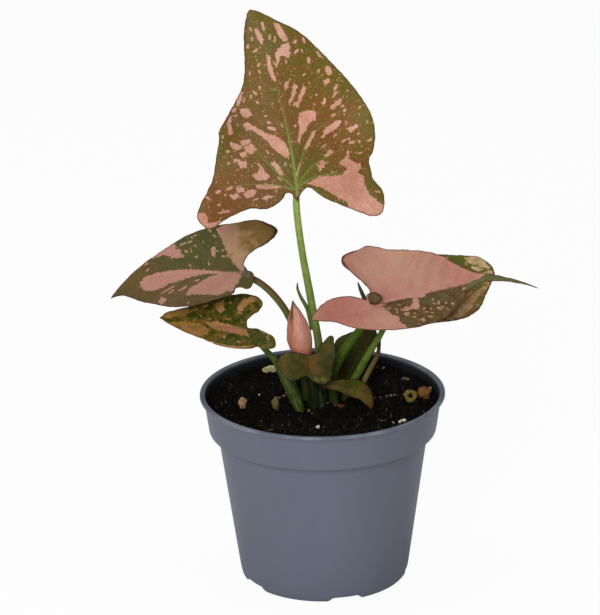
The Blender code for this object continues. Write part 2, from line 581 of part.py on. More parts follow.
def make_soil():
    """The potting soil: a plug that fills the pot, with an uneven top."""
    inner = inner_wall()[:-2]
    wall = [(radius - SEAT_GAP, height + SEAT_GAP) for radius, height in inner[:-1]]
    (low_radius, low_z), (high_radius, high_z) = inner[-2:]
    top_share = (SOIL_Z + SOIL_DISH - low_z) / (high_z - low_z)
    top_radius = low_radius + (high_radius - low_radius) * top_share - SEAT_GAP - 0.1
    mesh = bmesh.new()
    rings = []
    for radius, height in wall:
        rings.append([(radius, height)] * SOIL_STEPS)
    for ring in range(SOIL_RINGS):
        radius = top_radius * (SOIL_RINGS - ring) / SOIL_RINGS
        heights = []
        for k in range(SOIL_STEPS):
            angle = 2 * math.pi * k / SOIL_STEPS
            heights.append((radius, soil_height(radius * math.cos(angle),
                                                radius * math.sin(angle))))
        rings.append(heights)
    loops = []
    for ring in rings:
        loop = []
        for k, (radius, height) in enumerate(ring):
            angle = 2 * math.pi * k / SOIL_STEPS
            loop.append(mesh.verts.new(mm((radius * math.cos(angle),
                                           radius * math.sin(angle), height))))
        loops.append(loop)
    bottom = mesh.verts.new(mm((0, 0, wall[0][1])))
    top = mesh.verts.new(mm((0, 0, soil_height(0, 0))))
    for k in range(SOIL_STEPS):
        after = (k + 1) % SOIL_STEPS
        for lower, upper in zip(loops, loops[1:]):
            mesh.faces.new([lower[k], lower[after], upper[after], upper[k]])
        mesh.faces.new([bottom, loops[0][after], loops[0][k]])
        mesh.faces.new([top, loops[-1][k], loops[-1][after]])
    return add_object("potting_soil", mesh, (0.015, 0.011, 0.009), 0.95)


# ---- bits on the soil ----

def make_chip(name, chip):
    """An irregular lump of bark or fibre that lies on the soil."""
    mesh = bmesh.new()
    bmesh.ops.create_icosphere(mesh, subdivisions=2, radius=1.0)
    turn = Matrix.Rotation(math.radians(chip["turn"]), 3, "Z")
    x, y = chip["at"]
    ground = soil_height(x, y)
    for vertex in mesh.verts:
        rough = 1.0 + 0.30 * noise.noise(vertex.co * 1.4 + Vector((chip["seed"] * 7.0, 0, 0)))
        local = turn @ Vector([c * h * rough for c, h in zip(vertex.co, chip["half"])])
        low = soil_height(x + local.x, y + local.y) + CHIP_GAP
        z = max(ground + 0.7 * chip["half"][2] + local.z, low)
        vertex.co = mm((x + local.x, y + local.y, z))
    return add_object(name, mesh, (0.30, 0.20, 0.10), 0.8)


def make_ring_chip():
    """A curled ring of bark that leans on the soil."""
    x, y = RING_CHIP["at"]
    ring_radius, tube_radius = RING_CHIP["ring_radius"], RING_CHIP["tube_radius"]
    tilt = Matrix.Rotation(math.radians(RING_CHIP["tilt"]), 3, "X")
    ground = soil_height(x, y)
    mesh = bmesh.new()
    around, across = 14, 8
    rings = []
    for k in range(around):
        turn = 2 * math.pi * k / around
        fat = tube_radius * (1.0 + 0.25 * math.sin(3 * turn + 0.6))
        ring = []
        for j in range(across):
            angle = 2 * math.pi * j / across
            radius = ring_radius + fat * math.cos(angle)
            local = tilt @ Vector((radius * math.cos(turn), radius * math.sin(turn),
                                   fat * math.sin(angle)))
            low = soil_height(x + local.x, y + local.y) + CHIP_GAP
            z = max(ground + 0.85 * (ring_radius + tube_radius) + local.z, low)
            ring.append(mesh.verts.new(mm((x + local.x, y + local.y, z))))
        rings.append(ring)
    for k in range(around):
        for j in range(across):
            next_ring, next_side = rings[(k + 1) % around], (j + 1) % across
            mesh.faces.new([rings[k][j], next_ring[j], next_ring[next_side],
                            rings[k][next_side]])
    return add_object("ring_bark_chip", mesh, (0.32, 0.25, 0.08), 0.8)


def main():
    """Build every piece."""
    reset_scene()
    make_pot()
    make_soil()
    for name, blade in BLADES.items():
        make_blade(name, blade)
    for name, stalk in STALKS.items():
        make_stalk(name, stalk)
    make_furled_leaf()
    for name, chip in CHIPS.items():
        make_chip(name, chip)
    make_ring_chip()


main()
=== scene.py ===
"""Looks of a young potted syngonium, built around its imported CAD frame.

Lengths are in millimetres about the pot's axis, with Z = 0 at its foot; runs of points and
half widths are in tenths. Each blade is drawn flat, creased, curled and set on its stalk.
Geometry Nodes grow the stalks, the litter and the pot.
"""
from __future__ import annotations

import json
import logging
import math
from collections.abc import Callable, Mapping, Sequence
from dataclasses import dataclass
from enum import Enum
from functools import cache, partial
from typing import Any

import bmesh
import bpy
import numpy as np
from bmesh.types import BMEdge, BMesh, BMVert
from bpy.types import Collection, ID, Material, Mesh, NodeTree, Object
from bpy.types import NodeSocket as Socket
from mathutils import Matrix, Vector, noise
from mathutils.geometry import delaunay_2d_cdt

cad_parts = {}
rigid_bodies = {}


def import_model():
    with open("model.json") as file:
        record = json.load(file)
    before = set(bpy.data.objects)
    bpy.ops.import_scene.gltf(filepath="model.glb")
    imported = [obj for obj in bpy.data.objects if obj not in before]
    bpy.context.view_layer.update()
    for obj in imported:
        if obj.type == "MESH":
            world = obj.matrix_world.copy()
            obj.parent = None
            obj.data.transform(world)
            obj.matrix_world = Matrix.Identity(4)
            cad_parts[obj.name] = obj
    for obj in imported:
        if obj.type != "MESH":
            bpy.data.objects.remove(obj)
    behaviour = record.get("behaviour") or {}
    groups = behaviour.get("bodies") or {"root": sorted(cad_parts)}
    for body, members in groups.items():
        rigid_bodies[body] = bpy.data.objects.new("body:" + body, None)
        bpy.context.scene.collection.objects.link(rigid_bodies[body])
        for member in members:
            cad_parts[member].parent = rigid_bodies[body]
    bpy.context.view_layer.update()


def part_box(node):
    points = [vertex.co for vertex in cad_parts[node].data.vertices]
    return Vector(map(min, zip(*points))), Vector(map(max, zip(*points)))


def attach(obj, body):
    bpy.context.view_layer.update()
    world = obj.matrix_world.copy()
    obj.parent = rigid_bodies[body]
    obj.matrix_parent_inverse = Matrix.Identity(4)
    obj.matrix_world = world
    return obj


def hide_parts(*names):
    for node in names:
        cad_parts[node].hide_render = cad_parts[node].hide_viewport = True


LOG = logging.getLogger("syngonium")
MM = 0.001
TURN = 2 * math.pi
FAR = 1e3
TENTHS = 10
WHITE = (1.0, 1.0, 1.0, 1.0)
FAMILIES = ("ShaderNode", "GeometryNode", "FunctionNode")
SCALED = "Math:MULTIPLY_ADD"

Run = tuple[float, ...]
Point = tuple[float, float]
Place = tuple[float, float, float]
Points = Sequence[Sequence[float]]
Array = np.ndarray
Add = Callable[..., Socket]
Surface = tuple[Socket, Socket | float, Socket]


class Slot(Enum):
    """The record's material slots."""

    POT = "pot_plastic"
    SOIL = "potting_soil"
    VARIEGATED = "variegated_blade"
    PINK = "pink_blade"
    GREEN = "green_blade"
    STALK = "stalk"
    DRY = "dry_sheath"
    BARK = "bark"


class Litter(Enum):
    """What the soil's surface is strewn with."""

    PEAT = "peat_crumbs"
    FIBRE = "peat_fibres"
    GRAIN = "perlite_grains"


# ---- nodes ----

def linear(hex_colour: str) -> tuple[float, float, float, float]:
    """Turn an sRGB colour, a # and six hex digits, into linear RGBA."""
    levels = (int(hex_colour[i:i + 2], 16) / 255.0 for i in (1, 3, 5))
    return (*(c / 12.92 if c <= 0.04045 else ((c + 0.055) / 1.055) ** 2.4 for c in levels), 1.0)


def feed(tree: NodeTree, entry: Socket, value: Any) -> None:
    """Feed an input.

    Args:
        tree: The input's tree.
        entry: The input.
        value: A socket, a value or a hex colour.
    """
    if isinstance(value, Socket):
        tree.links.new(value, entry)
    else:
        coloured = isinstance(value, str) and value.startswith("#")
        entry.default_value = linear(value) if coloured else value


def add_node(tree: NodeTree, kind: str, *values: Any, out: int | str = 0,
             at: Mapping[int, Any] | None = None, **named: Any) -> Socket:
    """Add a node with its settings, values and links.

    Args:
        tree: The tree that gets the node.
        kind: The node's type, its family left off, and after a colon its operation.
        *values: Values or sockets for its first inputs.
        out: The wanted output.
        at: Values or sockets for other inputs, by number.
        **named: With a capital, for the input of that name, _ standing for a space;
            without one, a property of the node.

    Returns:
        The wanted output.
    """
    kind, _, operation = kind.partition(":")
    family = next(family for family in FAMILIES if hasattr(bpy.types, family + kind))
    node = tree.nodes.new(family + kind)
    if operation:
        node.operation = operation
    entries = {**dict(enumerate(values)), **(at or {})}
    for name, value in named.items():
        if name[0].isupper():
            entries[name.replace("_", " ")] = value
        else:
            setattr(node, name, value)
    for key, value in entries.items():
        feed(tree, node.inputs[key], value)
    return node.outputs[out] if len(node.outputs) else node.inputs[0]


def lay(add: Add, skin: Socket | str, colour: Socket | str, value: Socket,
        low: float = 0.0, high: float = 1.0, least: float = 0.0, most: float = 1.0) -> Socket:
    """Lay a colour over the skin, most of it where the value is high, least where it is low."""
    share = add("MapRange", value, low, high, least, most)
    return add("Mix", at={0: share, 6: skin, 7: colour}, out=2, data_type="RGBA")


class Growth:
    """A Geometry Nodes tree with named inputs, grown on host meshes."""

    def __init__(self, name: str, *numbers: str, **others: str) -> None:
        """Start the tree.

        Args:
            name: The tree's name.
            *numbers: Its inputs that take any number.
            **others: Its other inputs, with their kinds.
        """
        self.tree = bpy.data.node_groups.new(name, "GeometryNodeTree")
        self.add = partial(add_node, self.tree)
        socket = self.tree.interface.new_socket
        for label, kind in {"Geometry": "Geometry", **dict.fromkeys(numbers, "Float"), **others,
                            "Finish": "Material"}.items():
            socket(label, in_out="INPUT", socket_type="NodeSocket" + kind)
        socket("Geometry", in_out="OUTPUT", socket_type="NodeSocketGeometry")
        self.given = self.tree.nodes.new("NodeGroupInput").outputs

    def end(self, geometry: Socket) -> "Growth":
        """Make the geometry real and give it its finish.

        Args:
            geometry: What has grown.

        Returns:
            This growth.
        """
        real = self.add("RealizeInstances", geometry)
        done = self.add("SetMaterial", real, Material=self.given["Finish"])
        feed(self.tree, self.tree.nodes.new("NodeGroupOutput").inputs["Geometry"], done)
        return self

    def grow(self, host_mesh: Mesh, **values: Any) -> Mesh:
        """Grow the tree on a host.

        Args:
            host_mesh: The host's mesh.
            **values: Input name, _ standing for a space, to value.

        Returns:
            The grown mesh.
        """
        host = stand("host", host_mesh)
        modifier = host.modifiers.new("grow", "NODES")
        modifier.node_group = self.tree
        for item in self.tree.interface.items_tree:
            key = item.name.replace(" ", "_")
            if item.item_type == "SOCKET" and item.in_out == "INPUT" and key in values:
                modifier[item.identifier] = values[key]
        host.update_tag()
        graph = bpy.context.evaluated_depsgraph_get()
        graph.update()
        result = bpy.data.meshes.new_from_object(host.evaluated_get(graph), depsgraph=graph)
        host.modifiers.remove(modifier)
        bpy.data.objects.remove(host)
        return result


# ---- lines and fields on the flat ----

def smooth_run(points: Points, step: float) -> list[Vector]:
    """Run a smooth curve through points.

    Args:
        points: The points, flat or in space.
        step: The wanted spacing along the curve.

    Returns:
        The run's points, its ends included.
    """
    knots = [Vector(p) for p in points]
    run = []
    for i in range(len(knots) - 1):
        start, end = knots[i], knots[i + 1]
        before = knots[i - 1] if i > 0 else start * 2.0 - end
        after = knots[i + 2] if i + 2 < len(knots) else end * 2.0 - start
        length = (end - start).length
        leave = (end - before) * (length / max((end - before).length, 1e-9))
        arrive = (after - start) * (length / max((after - start).length, 1e-9))
        count = max(1, round(length / step))
        for k in range(count):
            t = k / count
            run.append(start * (2 * t**3 - 3 * t**2 + 1) + leave * (t**3 - 2 * t**2 + t)
                       + end * (3 * t**2 - 2 * t**3) + arrive * (t**3 - t**2))
    return [*run, knots[-1]]


def spread(values: Sequence[float], points: Points, step: float) -> list[float]:
    """Spread values over a smooth run.

    Args:
        values: One value for each given point.
        points: The given points.
        step: The run's spacing.

    Returns:
        One value for each point of the run.
    """
    result = []
    for a, b, start, end in zip(values, values[1:], points, points[1:]):
        count = max(1, round((Vector(end) - Vector(start)).length / step))
        result += [a + (b - a) * k / count for k in range(count)]
    return [*result, values[-1]]


def rows(run: Sequence[float], width: int) -> Array:
    """Break a run of numbers into rows, such as the points of a line."""
    return np.reshape(np.array(run, dtype=float), (-1, width))


def array_of(points: Sequence[Vector]) -> Array:
    """Turn vectors into an array."""
    return np.array([tuple(p) for p in points])


def closed(outline: Array) -> Array:
    """Bring an outline back to its first point."""
    return np.vstack([outline, outline[:1]])


def stroke_field(points: Array, strokes: Points) -> Array:
    """Depth of flat points inside tapered strokes.

    Args:
        points: The points.
        strokes: X, y and half width at both ends.

    Returns:
        The depths, negative outside.
    """
    best = np.full(len(points), -FAR)
    for x0, y0, w0, x1, y1, w1 in strokes:
        start, along = np.array((x0, y0)), np.array((x1 - x0, y1 - y0))
        t = np.clip(((points - start) @ along) / max(float(along @ along), 1e-9), 0.0, 1.0)
        gap = points - start - t[:, None] * along
        best = np.maximum(best, w0 + (w1 - w0) * t - np.sqrt((gap * gap).sum(axis=1)))
    return best


def distance_to_lines(points: Array, lines: Sequence[Array]) -> Array:
    """Distances of flat points from the nearest of some lines."""
    return -stroke_field(points, [(*a, 0.0, *b, 0.0) for line in lines
                                  for a, b in zip(line[:-1], line[1:])])


def inside(points: Array, outline: Array) -> Array:
    """Whether flat points lie inside an outline.

    Args:
        points: The points.
        outline: The outline's points.

    Returns:
        One truth value for each.
    """
    hit = np.zeros(len(points), dtype=bool)
    x, y = points[:, 0], points[:, 1]
    for a, b in zip(outline, np.roll(outline, -1, axis=0)):
        crosses = (a[1] > y) != (b[1] > y)
        rise = b[1] - a[1] if abs(b[1] - a[1]) > 1e-12 else 1e-12
        hit ^= crosses & (x < a[0] + (y - a[1]) * (b[0] - a[0]) / rise)
    return hit


def patch_field(points: Array, patches: Sequence[Run]) -> Array:
    """Depth of flat points inside patches.

    Args:
        points: The points.
        patches: The patches' corners, in tenths.

    Returns:
        The depths, negative outside.
    """
    best = np.full(len(points), -FAR)
    for patch in patches:
        outline = rows(patch, 2) / TENTHS
        gap = distance_to_lines(points, [closed(outline)])
        best = np.maximum(best, np.where(inside(points, outline), gap, -gap))
    return best


def spot_field(points: Array, spots: Run) -> Array:
    """Sum of soft round spots at flat points.

    Args:
        points: The points.
        spots: X, y, radius and strength of each.

    Returns:
        The sums.
    """
    total = np.zeros(len(points))
    for x, y, radius, strength in rows(spots, 4):
        squared = (points[:, 0] - x) ** 2 + (points[:, 1] - y) ** 2
        total += strength * np.exp(-squared / radius**2)
    return total


# ---- meshes and pieces ----

@cache
def pot_axis() -> Point:
    """X and Y of the pot's axis in the frame."""
    low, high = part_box("pot")
    return 0.5 * (low[0] + high[0]), 0.5 * (low[1] + high[1])


def placed(point: Sequence[float]) -> Vector:
    """Turn a place in millimetres about the axis into metres in the frame."""
    x, y = pot_axis()
    return Vector((point[0] * MM + x, point[1] * MM + y, point[2] * MM))


def stand(name: str, data: ID) -> Object:
    """Put a new object into the scene.

    Args:
        name: Its name.
        data: What it holds.

    Returns:
        The object.
    """
    made = bpy.data.objects.new(name, data)
    bpy.context.scene.collection.objects.link(made)
    return made


def store(mesh: Mesh, **values: Sequence[float] | Array) -> None:
    """Keep facts at a mesh's points for its finish.

    Args:
        mesh: The mesh.
        **values: Attribute name to a number or a vector for each point.
    """
    for name, numbers in values.items():
        kind, key = ("FLOAT_VECTOR", "vector") if np.ndim(numbers) > 1 else ("FLOAT", "value")
        attribute = mesh.attributes.new(name, kind, "POINT")
        attribute.data.foreach_set(key, np.asarray(numbers, dtype=np.float32).ravel())


def settle(work: BMesh, name: str) -> Mesh:
    """Make a mesh of geometry, its faces pointing outwards.

    Args:
        work: The geometry.
        name: The mesh's name.

    Returns:
        The mesh.
    """
    mesh = bpy.data.meshes.new(name)
    bmesh.ops.recalc_face_normals(work, faces=work.faces)
    work.to_mesh(mesh)
    work.free()
    return mesh


def outward(mesh: Mesh, merge: float = 0.0) -> Mesh:
    """Point a mesh's faces outwards.

    Args:
        mesh: The mesh.
        merge: How near points are made one.

    Returns:
        The mesh.
    """
    work = bmesh.new()
    work.from_mesh(mesh)
    if merge:
        bmesh.ops.remove_doubles(work, verts=work.verts, dist=merge)
    return settle(work, mesh.name)


def tube(name: str, rings: Sequence[Sequence[Vector]], caps: bool = True) -> Mesh:
    """Join rings of points into a tube.

    Args:
        name: The mesh's name.
        rings: The rings' places.
        caps: Whether the ends are closed; if not, they are joined.

    Returns:
        The mesh.
    """
    work = bmesh.new()
    made = [[work.verts.new(place) for place in ring] for ring in rings]
    if caps:
        work.faces.new(made[0][::-1])
        work.faces.new(made[-1])
    else:
        made.append(made[0])
    for lower, upper in zip(made, made[1:]):
        for k in range(len(lower)):
            after = (k + 1) % len(lower)
            work.faces.new([lower[k], lower[after], upper[after], upper[k]])
    return settle(work, name)


def finish_piece(name: str, mesh: Mesh, material: Material,
                 node: str = "", smooth: bool = True) -> None:
    """Turn a mesh into a finished piece.

    Args:
        name: The piece's name.
        mesh: Its mesh.
        material: Its finish.
        node: The CAD node that it replaces, if any.
        smooth: Whether it is shaded smooth.
    """
    mesh.name = name
    mesh.materials.clear()
    mesh.materials.append(material)
    mesh.polygons.foreach_set("use_smooth", [smooth] * len(mesh.polygons))
    mesh.polygons.foreach_set("material_index", [0] * len(mesh.polygons))
    piece = stand(name, mesh)
    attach(piece, "root")
    if node:
        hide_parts(node)
    LOG.info("%s: %d faces", name, len(mesh.polygons))


# ---- finishes ----

@dataclass(frozen=True)
class Finish:
    """A real surface: its skin's colour, its dullness and its fine relief."""

    name: str
    ior = 1.42
    gloss = 0.2
    relief = 0.4
    relief_depth = 0.0003

    def draw(self, add: Add) -> Surface:
        """Draw the surface.

        Args:
            add: Adds a node to the material.

        Returns:
            Its colour, its roughness and the height of its relief.
        """
        raise NotImplementedError

    def build(self) -> Material:
        """Make the finish's material.

        Returns:
            The material.
        """
        material = bpy.data.materials.new(self.name)
        material.use_nodes = True
        tree = material.node_tree
        add = partial(add_node, tree)
        skin, rough, height = self.draw(add)
        bump = add("Bump", Height=height, Strength=self.relief, Distance=self.relief_depth)
        shader = tree.nodes["Principled BSDF"]
        for key, value in {"Base Color": skin, "Roughness": rough, "Normal": bump,
                           "IOR": self.ior, "Specular IOR Level": self.gloss}.items():
            feed(tree, shader.inputs[key], value)
        return material


@dataclass(frozen=True)
class LeafFinish(Finish):
    """Waxy leaf blade, splashed where it lacks green; its colours run from cool to warm."""

    ground: tuple[str, str, str]
    splash: tuple[str, str, str]
    rib: str
    rim: str
    speck: str
    dot: str
    stain: str
    under: str
    roughness: float = 0.46
    ragged: float = 0.7
    specks: float = 1.0
    dots: float = 0.0
    splash_specks: float = 0.0
    rim_width: float = 0.8
    ribs: float = 0.8
    mottle: float = 9.0
    contrast: float = 1.4
    fleck: float = 1.0
    gloss: float = 0.22
    fleck_tone: str = ""
    relief = 0.45
    relief_depth = 0.0002

    @staticmethod
    def dotted(add: Add, flat: Socket, skin: Socket, cell: float, reach: float,
               lot: float, colour: str) -> Socket:
        """Dot a colour over the skin, one dot to a cell at most.

        Args:
            add: Adds a node to the material.
            flat: The place on the flat blade.
            skin: The colour so far.
            cell: A cell's size in millimetres.
            reach: The greatest radius, as a share of the cell.
            lot: The share of empty cells.
            colour: The dots' colour.

        Returns:
            The dotted skin.
        """
        # dots are drawn out a little along the blade, as the leaf's cells grow
        drawn = add("Mapping", Vector=flat, Scale=(1.2, 0.8, 1.0))
        ripple = add("TexNoise", Vector=flat, Scale=2.2 / cell, out="Color")
        ripple = add("VectorMath:SCALE", ripple, Scale=0.45 * cell)
        drawn = add("VectorMath", drawn, ripple)
        near = add("TexVoronoi", Vector=drawn, Scale=1.0 / cell, out="Distance",
                   voronoi_dimensions="2D")
        chance = add("SeparateColor", near.node.outputs["Color"])
        size = add("MapRange", chance, lot, 1.0, -0.12, reach)
        over = add("Math:SUBTRACT", size, near)
        return lay(add, skin, colour, over, 0.0, 0.12 / cell, 0.0, 0.75)

    def draw(self, add: Add) -> Surface:
        """Draw the blade's skin from its own attributes; see Finish.draw."""
        fact = {key: add("Attribute", out="Fac", attribute_name=key)
                for key in ("splash", "fleck", "margin", "rib", "tint", "blush", "shade",
                            "upper", "stain")}
        flat = add("Attribute", out="Vector", attribute_name="flat")
        # single cells are too fine to show, so the grain is drawn at 0.6 mm
        patch, grain, hue, ragged = (
            add("TexNoise", Vector=flat, Scale=scale, Detail=detail, Roughness=rough)
            for scale, detail, rough in ((1.0 / self.mottle, 4.0, 0.6), (1.6, 3.0, 0.7),
                                         (0.9, 2.0, 0.7), (0.6, 4.0, 0.65)))
        shift = add(SCALED, patch, self.contrast, 0.5 - 0.5 * self.contrast)
        skins = []
        for key, colours in (("tint", self.ground), ("blush", self.splash)):
            tone = add("ValToRGB", add(SCALED, fact[key], 0.5, shift))
            stops = tone.node.color_ramp.elements
            stops.new(0.5)
            for stop, position, colour in zip(stops, (0.2, 0.5, 0.8), colours):
                stop.position, stop.color = position, linear(colour)
            skins.append(tone)
        ground, splash = skins
        for cell, reach, lot in ((1.05, 0.22, 0.3), (2.1, 0.19, 0.5)):
            ground = self.dotted(add, flat, ground, cell, reach * self.specks, lot, self.speck)
        if self.dots:
            ground = self.dotted(add, flat, ground, 5.2, 0.20 * self.dots, 0.5, self.dot)
        for cell, lot, colour in ((1.5, 0.5, self.speck), (3.4, 0.55, self.dot)):
            if self.splash_specks:
                splash = self.dotted(add, flat, splash, cell, 0.24 * self.splash_specks, lot,
                                     colour)
        wobble = add(SCALED, ragged, 5.0 * self.ragged, -2.5 * self.ragged)
        skin = lay(add, ground, splash, add("Math", fact["splash"], wobble), -0.12, 0.12)
        skin = lay(add, skin, self.fleck_tone or splash, add(SCALED, wobble, 0.22, fact["fleck"]),
                   -0.16, 0.12, 0.0, 0.9)
        skin = lay(add, skin, self.rib, fact["rib"], most=self.ribs)
        skin = lay(add, skin, self.stain, add(SCALED, wobble, 0.35, fact["stain"]), -0.5, 0.6, 0.0,
                   0.9)
        skin = lay(add, skin, self.rim, add(SCALED, ragged, self.rim_width, fact["margin"]),
                   0.6 * self.rim_width, 1.5 * self.rim_width, 0.9, 0.0)
        skin = lay(add, skin, self.under, fact["upper"], 0.3, 0.0, 0.0, 0.75)
        turn = add(SCALED, hue, 0.10 * self.fleck, 0.5 - 0.05 * self.fleck)
        value = add(SCALED, grain, 0.9 * self.fleck, 1.0 - 0.45 * self.fleck)
        # painted light and shade: the shade fact brightens painted highlights and sheen and
        # darkens painted shade
        value = add("Math:MULTIPLY", value, fact["shade"])
        skin = add("HueSaturation", Hue=turn, Value=value, Saturation=1.02, Color=skin)
        return skin, add(SCALED, grain, 0.24, self.roughness - 0.12), grain


@dataclass(frozen=True)
class StalkFinish(Finish):
    """Fleshy green leaf stalk, flushed with red on its sunny side."""

    base: str
    top: str
    streak: str
    flush: str = ""
    tip: str = "#5a6a2c"
    streaks: float = 0.4
    roughness: float = 0.42
    ior = 1.40

    def draw(self, add: Add) -> Surface:
        """Draw a skin that runs from base to top along the stalk; see Finish.draw."""
        along, around, sunny, ripe = (add("Attribute", out="Fac", attribute_name=key)
                                      for key in ("along", "around", "sunny", "ripe"))
        spot = add("TexCoord", out="Object")
        # fibres run the stalk's length: 0.7 mm across it, 20 mm along it
        drawn = add("CombineXYZ", around, add("Math:MULTIPLY", along, 0.5))
        fibre = add("TexNoise", Vector=drawn, Scale=11.0, Detail=3.0)
        blotch = add("TexNoise", Vector=spot, Scale=420.0, Detail=3.0, Roughness=0.65)
        skin = lay(add, self.base, self.top, add(SCALED, blotch, 0.4, along), 0.2, 1.1)
        skin = lay(add, skin, self.streak, fibre, 0.5, 0.66, 0.0, self.streaks)
        if self.flush:
            skin = lay(add, skin, self.flush, add(SCALED, blotch, 0.5, sunny), 0.70, 0.95)
        # the sheath's free tip takes its own colour; on the right stalk that colour is painted
        # shade
        skin = lay(add, skin, self.tip, ripe)
        skin = add("HueSaturation", Value=add(SCALED, blotch, 0.8, 0.6), Color=skin)
        return skin, self.roughness, fibre


@dataclass(frozen=True)
class RolledFinish(Finish):
    """Outside of a rolled blade: pink with a painted highlight band, browner at its base, edge and
    tip.
    """

    name: str = "rolled_blade"
    left: str = "#ba7458"
    middle: str = "#c98872"
    # painted highlight colour
    highlight_band: str = "#d89a88"
    right: str = "#c08a72"
    groove: str = "#544a1c"
    edge: str = "#4c2c1c"
    base: str = "#b0603a"
    gloss = 0.4

    def draw(self, add: Add) -> Surface:
        """Draw the skin by how far round and along the roll it lies; see Finish.draw."""
        along, around = (add("Attribute", out="Fac", attribute_name=key)
                         for key in ("along", "around"))
        spot = add("TexCoord", out="Object")
        tall = add("Mapping", Vector=spot, Scale=(1.0, 1.0, 0.22))
        streak = add("TexNoise", Vector=tall, Scale=900.0, Detail=3.0, Roughness=0.65)
        blotch = add("TexNoise", Vector=spot, Scale=380.0, Detail=3.0)
        wander = add("Math:MULTIPLY_ADD", blotch, 0.10, around)
        colour = add("ValToRGB", add("Math", wander, -0.05))
        stops = colour.node.color_ramp.elements
        stops[0].color, stops[1].color = linear(self.middle), linear(self.left)
        # a painted highlight runs down the roll as a pale band beside its middle
        for position, tone in ((0.10, self.highlight_band), (0.17, self.middle), (0.30, self.right),
                               (0.80, self.left)):
            stops.new(position).color = linear(tone)
        skin = lay(add, colour, self.base, along, 0.45, 0.05, 0.0, 0.75)
        gap = add("Math:ABSOLUTE", add("Math:SUBTRACT", around, 0.97))
        groove = add("Math:MULTIPLY", add("MapRange", gap, 0.08, 0.02),
                     add("MapRange", along, 0.62, 0.76))
        skin = lay(add, skin, self.groove, groove)
        skin = lay(add, skin, self.edge, along, 0.86, 0.97, 0.0, 0.9)
        value = add("Math:MULTIPLY_ADD", streak, 1.0, 0.5)
        return add("HueSaturation", Value=value, Color=skin), 0.42, streak


@dataclass(frozen=True)
class MouldedPlastic(Finish):
    """Moulded grey polypropylene, satin, with a painted highlight along its lip; its inside is
    painted in shade and dulled by peat dirt.
    """

    name: str = "moulded_polypropylene"
    colour: str = "#686d7c"
    scuff: str = "#7d818b"
    # painted highlight: the pale colour laid along the lip's edge
    lip_highlight: str = "#8f939d"
    # painted shade for the inside wall, then peat dirt with painted shade near the soil
    inside_shade: str = "#1f2328"
    peat_dirt_and_shade: str = "#0f0d0b"
    roughness: float = 0.40
    ior = 1.49
    gloss = 0.25
    relief = 0.25
    relief_depth = 0.0001

    def draw(self, add: Add) -> Surface:
        """Draw flow marks, fine grain, scuffs, a painted highlight along the lip and an inside of
        painted shade with peat dirt; see Finish.draw.
        """
        spot = add("TexCoord", out="Object")
        inner, edge = (add("Attribute", out="Fac", attribute_name=key)
                       for key in ("inner", "edge"))
        # flow marks 15 mm across stretched down the wall, grain drawn at 0.8 mm to show
        tall = add("Mapping", Vector=spot, Scale=(70.0, 70.0, 14.0))
        flow = add("TexNoise", Vector=tall, Scale=1.0, Detail=3.0)
        grain = add("TexNoise", Vector=spot, Scale=1250.0, Detail=2.0)
        scuffs = add("TexNoise", Vector=spot, Scale=420.0, Detail=5.0, Roughness=0.7)
        skin = lay(add, self.colour, self.scuff, scuffs, 0.62, 0.74, 0.0, 0.25)
        skin = add("HueSaturation", Value=add(SCALED, flow, 0.14, 0.93), Color=skin)
        # painted highlight along the lip's edge, broken up by the flow marks
        skin = lay(add, skin, self.lip_highlight, add("Math:MULTIPLY", flow, edge), 0.42, 0.7, 0.0, 0.7)
        # painted shade on the inside wall, darker deeper down
        skin = lay(add, skin, self.inside_shade, inner, 0.05, 0.45)
        # darkest near the soil: painted shade blotched with peat dirt
        skin = lay(add, skin, self.peat_dirt_and_shade, add(SCALED, scuffs, 0.6, inner), 0.8, 1.15)
        dull = add(SCALED, inner, 0.4, add(SCALED, grain, 0.16, self.roughness - 0.08))
        return skin, add(SCALED, edge, -0.16, dull), grain


@dataclass(frozen=True)
class LooseMatter(Finish):
    """Peat, bark, fibre or perlite: dull, each bit a little different."""

    dark: str
    light: str
    grain_mm: float = 1.2
    roughness: float = 0.92
    relief: float = 0.6
    ior = 1.35
    relief_depth = 0.0006

    def draw(self, add: Add) -> Surface:
        """Draw a colour that varies from bit to bit and over each; see Finish.draw."""
        tone = add("Attribute", out="Fac", attribute_name="tone")
        grain = add("TexNoise", Vector=add("TexCoord", out="Object"),
                    Scale=1.0 / (self.grain_mm * MM), Detail=4.0, Roughness=0.65)
        mix = add("Math:MULTIPLY_ADD", grain, 1.1, -0.45)
        mix = add("Math", mix, tone)
        return lay(add, self.dark, self.light, mix), self.roughness, grain


# ---- leaves ----

